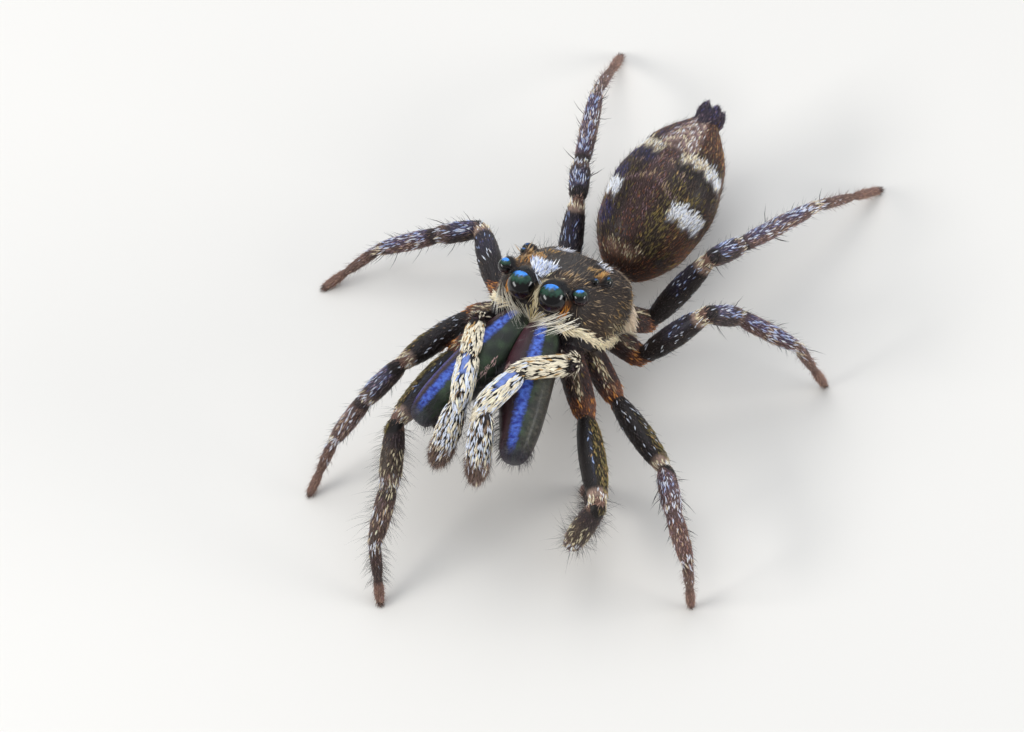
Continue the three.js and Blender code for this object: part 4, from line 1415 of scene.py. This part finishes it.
def make_fang(side):
    base, tip = jaw_ends(side)
    along = unit(tip - base)
    inward = np.array((-SIDES[side], 0, 0), float)
    under = np.cross(inward, along)
    under = unit(under * -np.sign(under[2]))
    seat = inward * 0.6 + under * 0.8
    hinge = tip - along * FANG["setback"] + seat * CHELICERA["radii"][1]
    radii = (FANG["radius"] * 1.2, FANG["radius"] * 0.3, 0.1)
    form = Segment(f"fang_{side}", hinge, hinge - along * FANG["length"], radii, up=seat, bow=0.02)
    verts, tris = closed_form(form.surface(24, 40))
    tint = np.tile(linear(58, 14, 10), (len(verts), 1))
    obj = make_object(form.name, verts, tris, tint, verts)
    own(obj, tinted(form.name, 0.2, 0.6, coat=0.6, contrast=0.2, bump=0.1), "fang", form.name)


# angles from the middle of the painted reflection, softness and colour: a green band and a blue cap painted as
# sky reflection, then a warm lower rim
LENS_REFLECTION_AND_RIM = ((28, 60, 16, (34, 62, 48)), (-1, 31, 10, (56, 136, 228)), (108, 181, 20, (40, 22, 28)))


def make_eye(kind, side):
    """A near-black lens with a painted sky reflection, a blue cap with green under it, and a warm lower rim.
    """
    *place, radius, _, _ = EYES[kind]
    centre = from_carapace(place, SIDES[side])
    verts, tris = closed_form(Knob(centre, radius, axes_towards(eye_direction(kind, side))).surface(96, 72))
    normal = (verts - centre) / radius
    reflection_angle = np.degrees(np.arccos(np.clip(normal @ unit(EYE_REFLECTION_FACING), -1, 1)))
    reflection_angle = reflection_angle + (3 * np.sin(normal[:, 0] * 21) + 2 * np.sin(normal[:, 1] * 33))
    colour = np.tile(linear(9, 7, 9), (len(verts), 1))
    for low, high, soft, rgb in LENS_REFLECTION_AND_RIM:
        weight = band(reflection_angle, low, high, soft)[:, None]
        colour = colour * (1 - weight) + linear(*rgb) * weight
    # the small rear eyes keep a third of this colour, painted reflection included
    if kind in EYE_SEATS:
        colour = colour * 0.3
    obj = make_object(f"eye_{kind}_{side}_lens", verts, tris, colour, verts)
    lens = tinted(f"lens_{kind}_{side}", 0.05, 0.24, coat=0.3, contrast=0.5, noise_scale=(3, 3, 3))
    own(obj, lens, "eye_lens", f"eye_{kind}_{side}")


jaw_coat = []
for number, side in enumerate(SIDES):
    make_jaw(side)
    make_fang(side)
    jaw_coat += jaw_hairs(number, side)
    for kind in EYES:
        make_eye(kind, side)
coat_piece("jaw_hairs", jaw_coat, hair_finish, "chelicera")


# ---- floor, light and camera
AZIMUTH, ELEVATION, ROLL = 44.485, 57.175, -15.98  # degrees
DISTANCE = 150.0
LENS = 379.7
HEAD = (0.0, -0.3577, 2.4808)
FLOOR_COLOUR = (0.78, 0.75, 0.7, 1)
SKY_TOWARDS = Vector((-0.15, 0.75, 0.65)).normalized()
SKY_RAMP = ((0.35, (0.42, 0.42, 0.42, 1)), (0.75, (0.85, 0.95, 1.1, 1)))
HEAD_IN_VIEW = (0.4722, 1.0972)  # the head from the middle of the view, right and up, mm


def camera_axes():
    a, e, r = (math.radians(v) for v in (AZIMUTH, ELEVATION, ROLL))
    back = np.array((math.sin(a) * math.cos(e), -math.cos(a) * math.cos(e), math.sin(e)))
    right = np.array((math.cos(a), math.sin(a), 0))
    up = np.cross(back, right)
    return right * math.cos(r) + up * math.sin(r), up * math.cos(r) - right * math.sin(r), back


def make_camera():
    right, up, back = camera_axes()
    head = np.array(HEAD) + SHIFT
    aim = head - right * HEAD_IN_VIEW[0] - up * HEAD_IN_VIEW[1]
    data = bpy.data.cameras.new("camera")
    data.lens = LENS
    data.clip_start, data.clip_end = 0.001, 10
    camera = bpy.data.objects.new("camera", data)
    bpy.context.scene.collection.objects.link(camera)
    place = Matrix.Identity(4)
    for column, axis in enumerate((right, up, back, (aim + back * DISTANCE) * MM)):
        for row in range(3):
            place[row][column] = axis[row]
    camera.matrix_world = place
    bpy.context.scene.camera = camera


def softbox(name, toward, distance, size, power, colour=(1, 1, 1)):
    """A rectangular light on the given bearing from the head, facing it; size is wide by high."""
    aim = Vector(HEAD)
    place = aim + Vector(toward).normalized() * distance
    data = bpy.data.lights.new(name, "AREA")
    data.shape = "RECTANGLE"
    data.size, data.size_y = (v * MM for v in size)
    data.energy = power
    data.color = colour
    light = bpy.data.objects.new(name, data)
    bpy.context.scene.collection.objects.link(light)
    light.location = place * MM
    light.rotation_mode = "QUATERNION"
    light.rotation_quaternion = (place - aim).to_track_quat("Z", "Y")


def make_floor():
    bpy.ops.mesh.primitive_plane_add(size=1)
    floor = bpy.context.object
    floor.name = "floor"
    floor.data.materials.append(new_material("floor", {"Base Color": FLOOR_COLOUR, "Roughness": 0.9})[0])
    floor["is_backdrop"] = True


def light_world(world):
    """A bright cool sky high behind the animal, dim and warm elsewhere."""
    tree = world.node_tree
    place = add(tree, "TexCoord", {}).outputs["Generated"]
    toward = add(tree, "VectorMath", {0: place, 1: SKY_TOWARDS}, "DOT_PRODUCT")
    ramp = add(tree, "ValToRGB", {"Fac": toward.outputs["Value"]})
    for element, (stop, colour) in zip(ramp.color_ramp.elements, SKY_RAMP):
        element.position, element.color = stop, colour
    plug(tree, tree.nodes["Background"], {"Color": ramp.outputs["Color"]})


make_camera()
make_floor()
softbox("above", (-0.35, 0.45, 0.85), 85, (60, 60), 0.022, (1, 0.98, 0.95))
softbox("flash_left", (-0.62, -0.62, 0.48), 60, (34, 15), 0.019)
softbox("flash_right", (0.93, 0.3, 0.22), 60, (34, 15), 0.019)
world = bpy.data.worlds.new("studio")
world.use_nodes = True
bpy.context.scene.world = world
light_world(world)
bpy.context.scene.view_settings.view_transform = "Standard"

boxes = {"cad": CAD_BOX, "visual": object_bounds()}
{k: [list(corner) for corner in box] for k, box in boxes.items()}
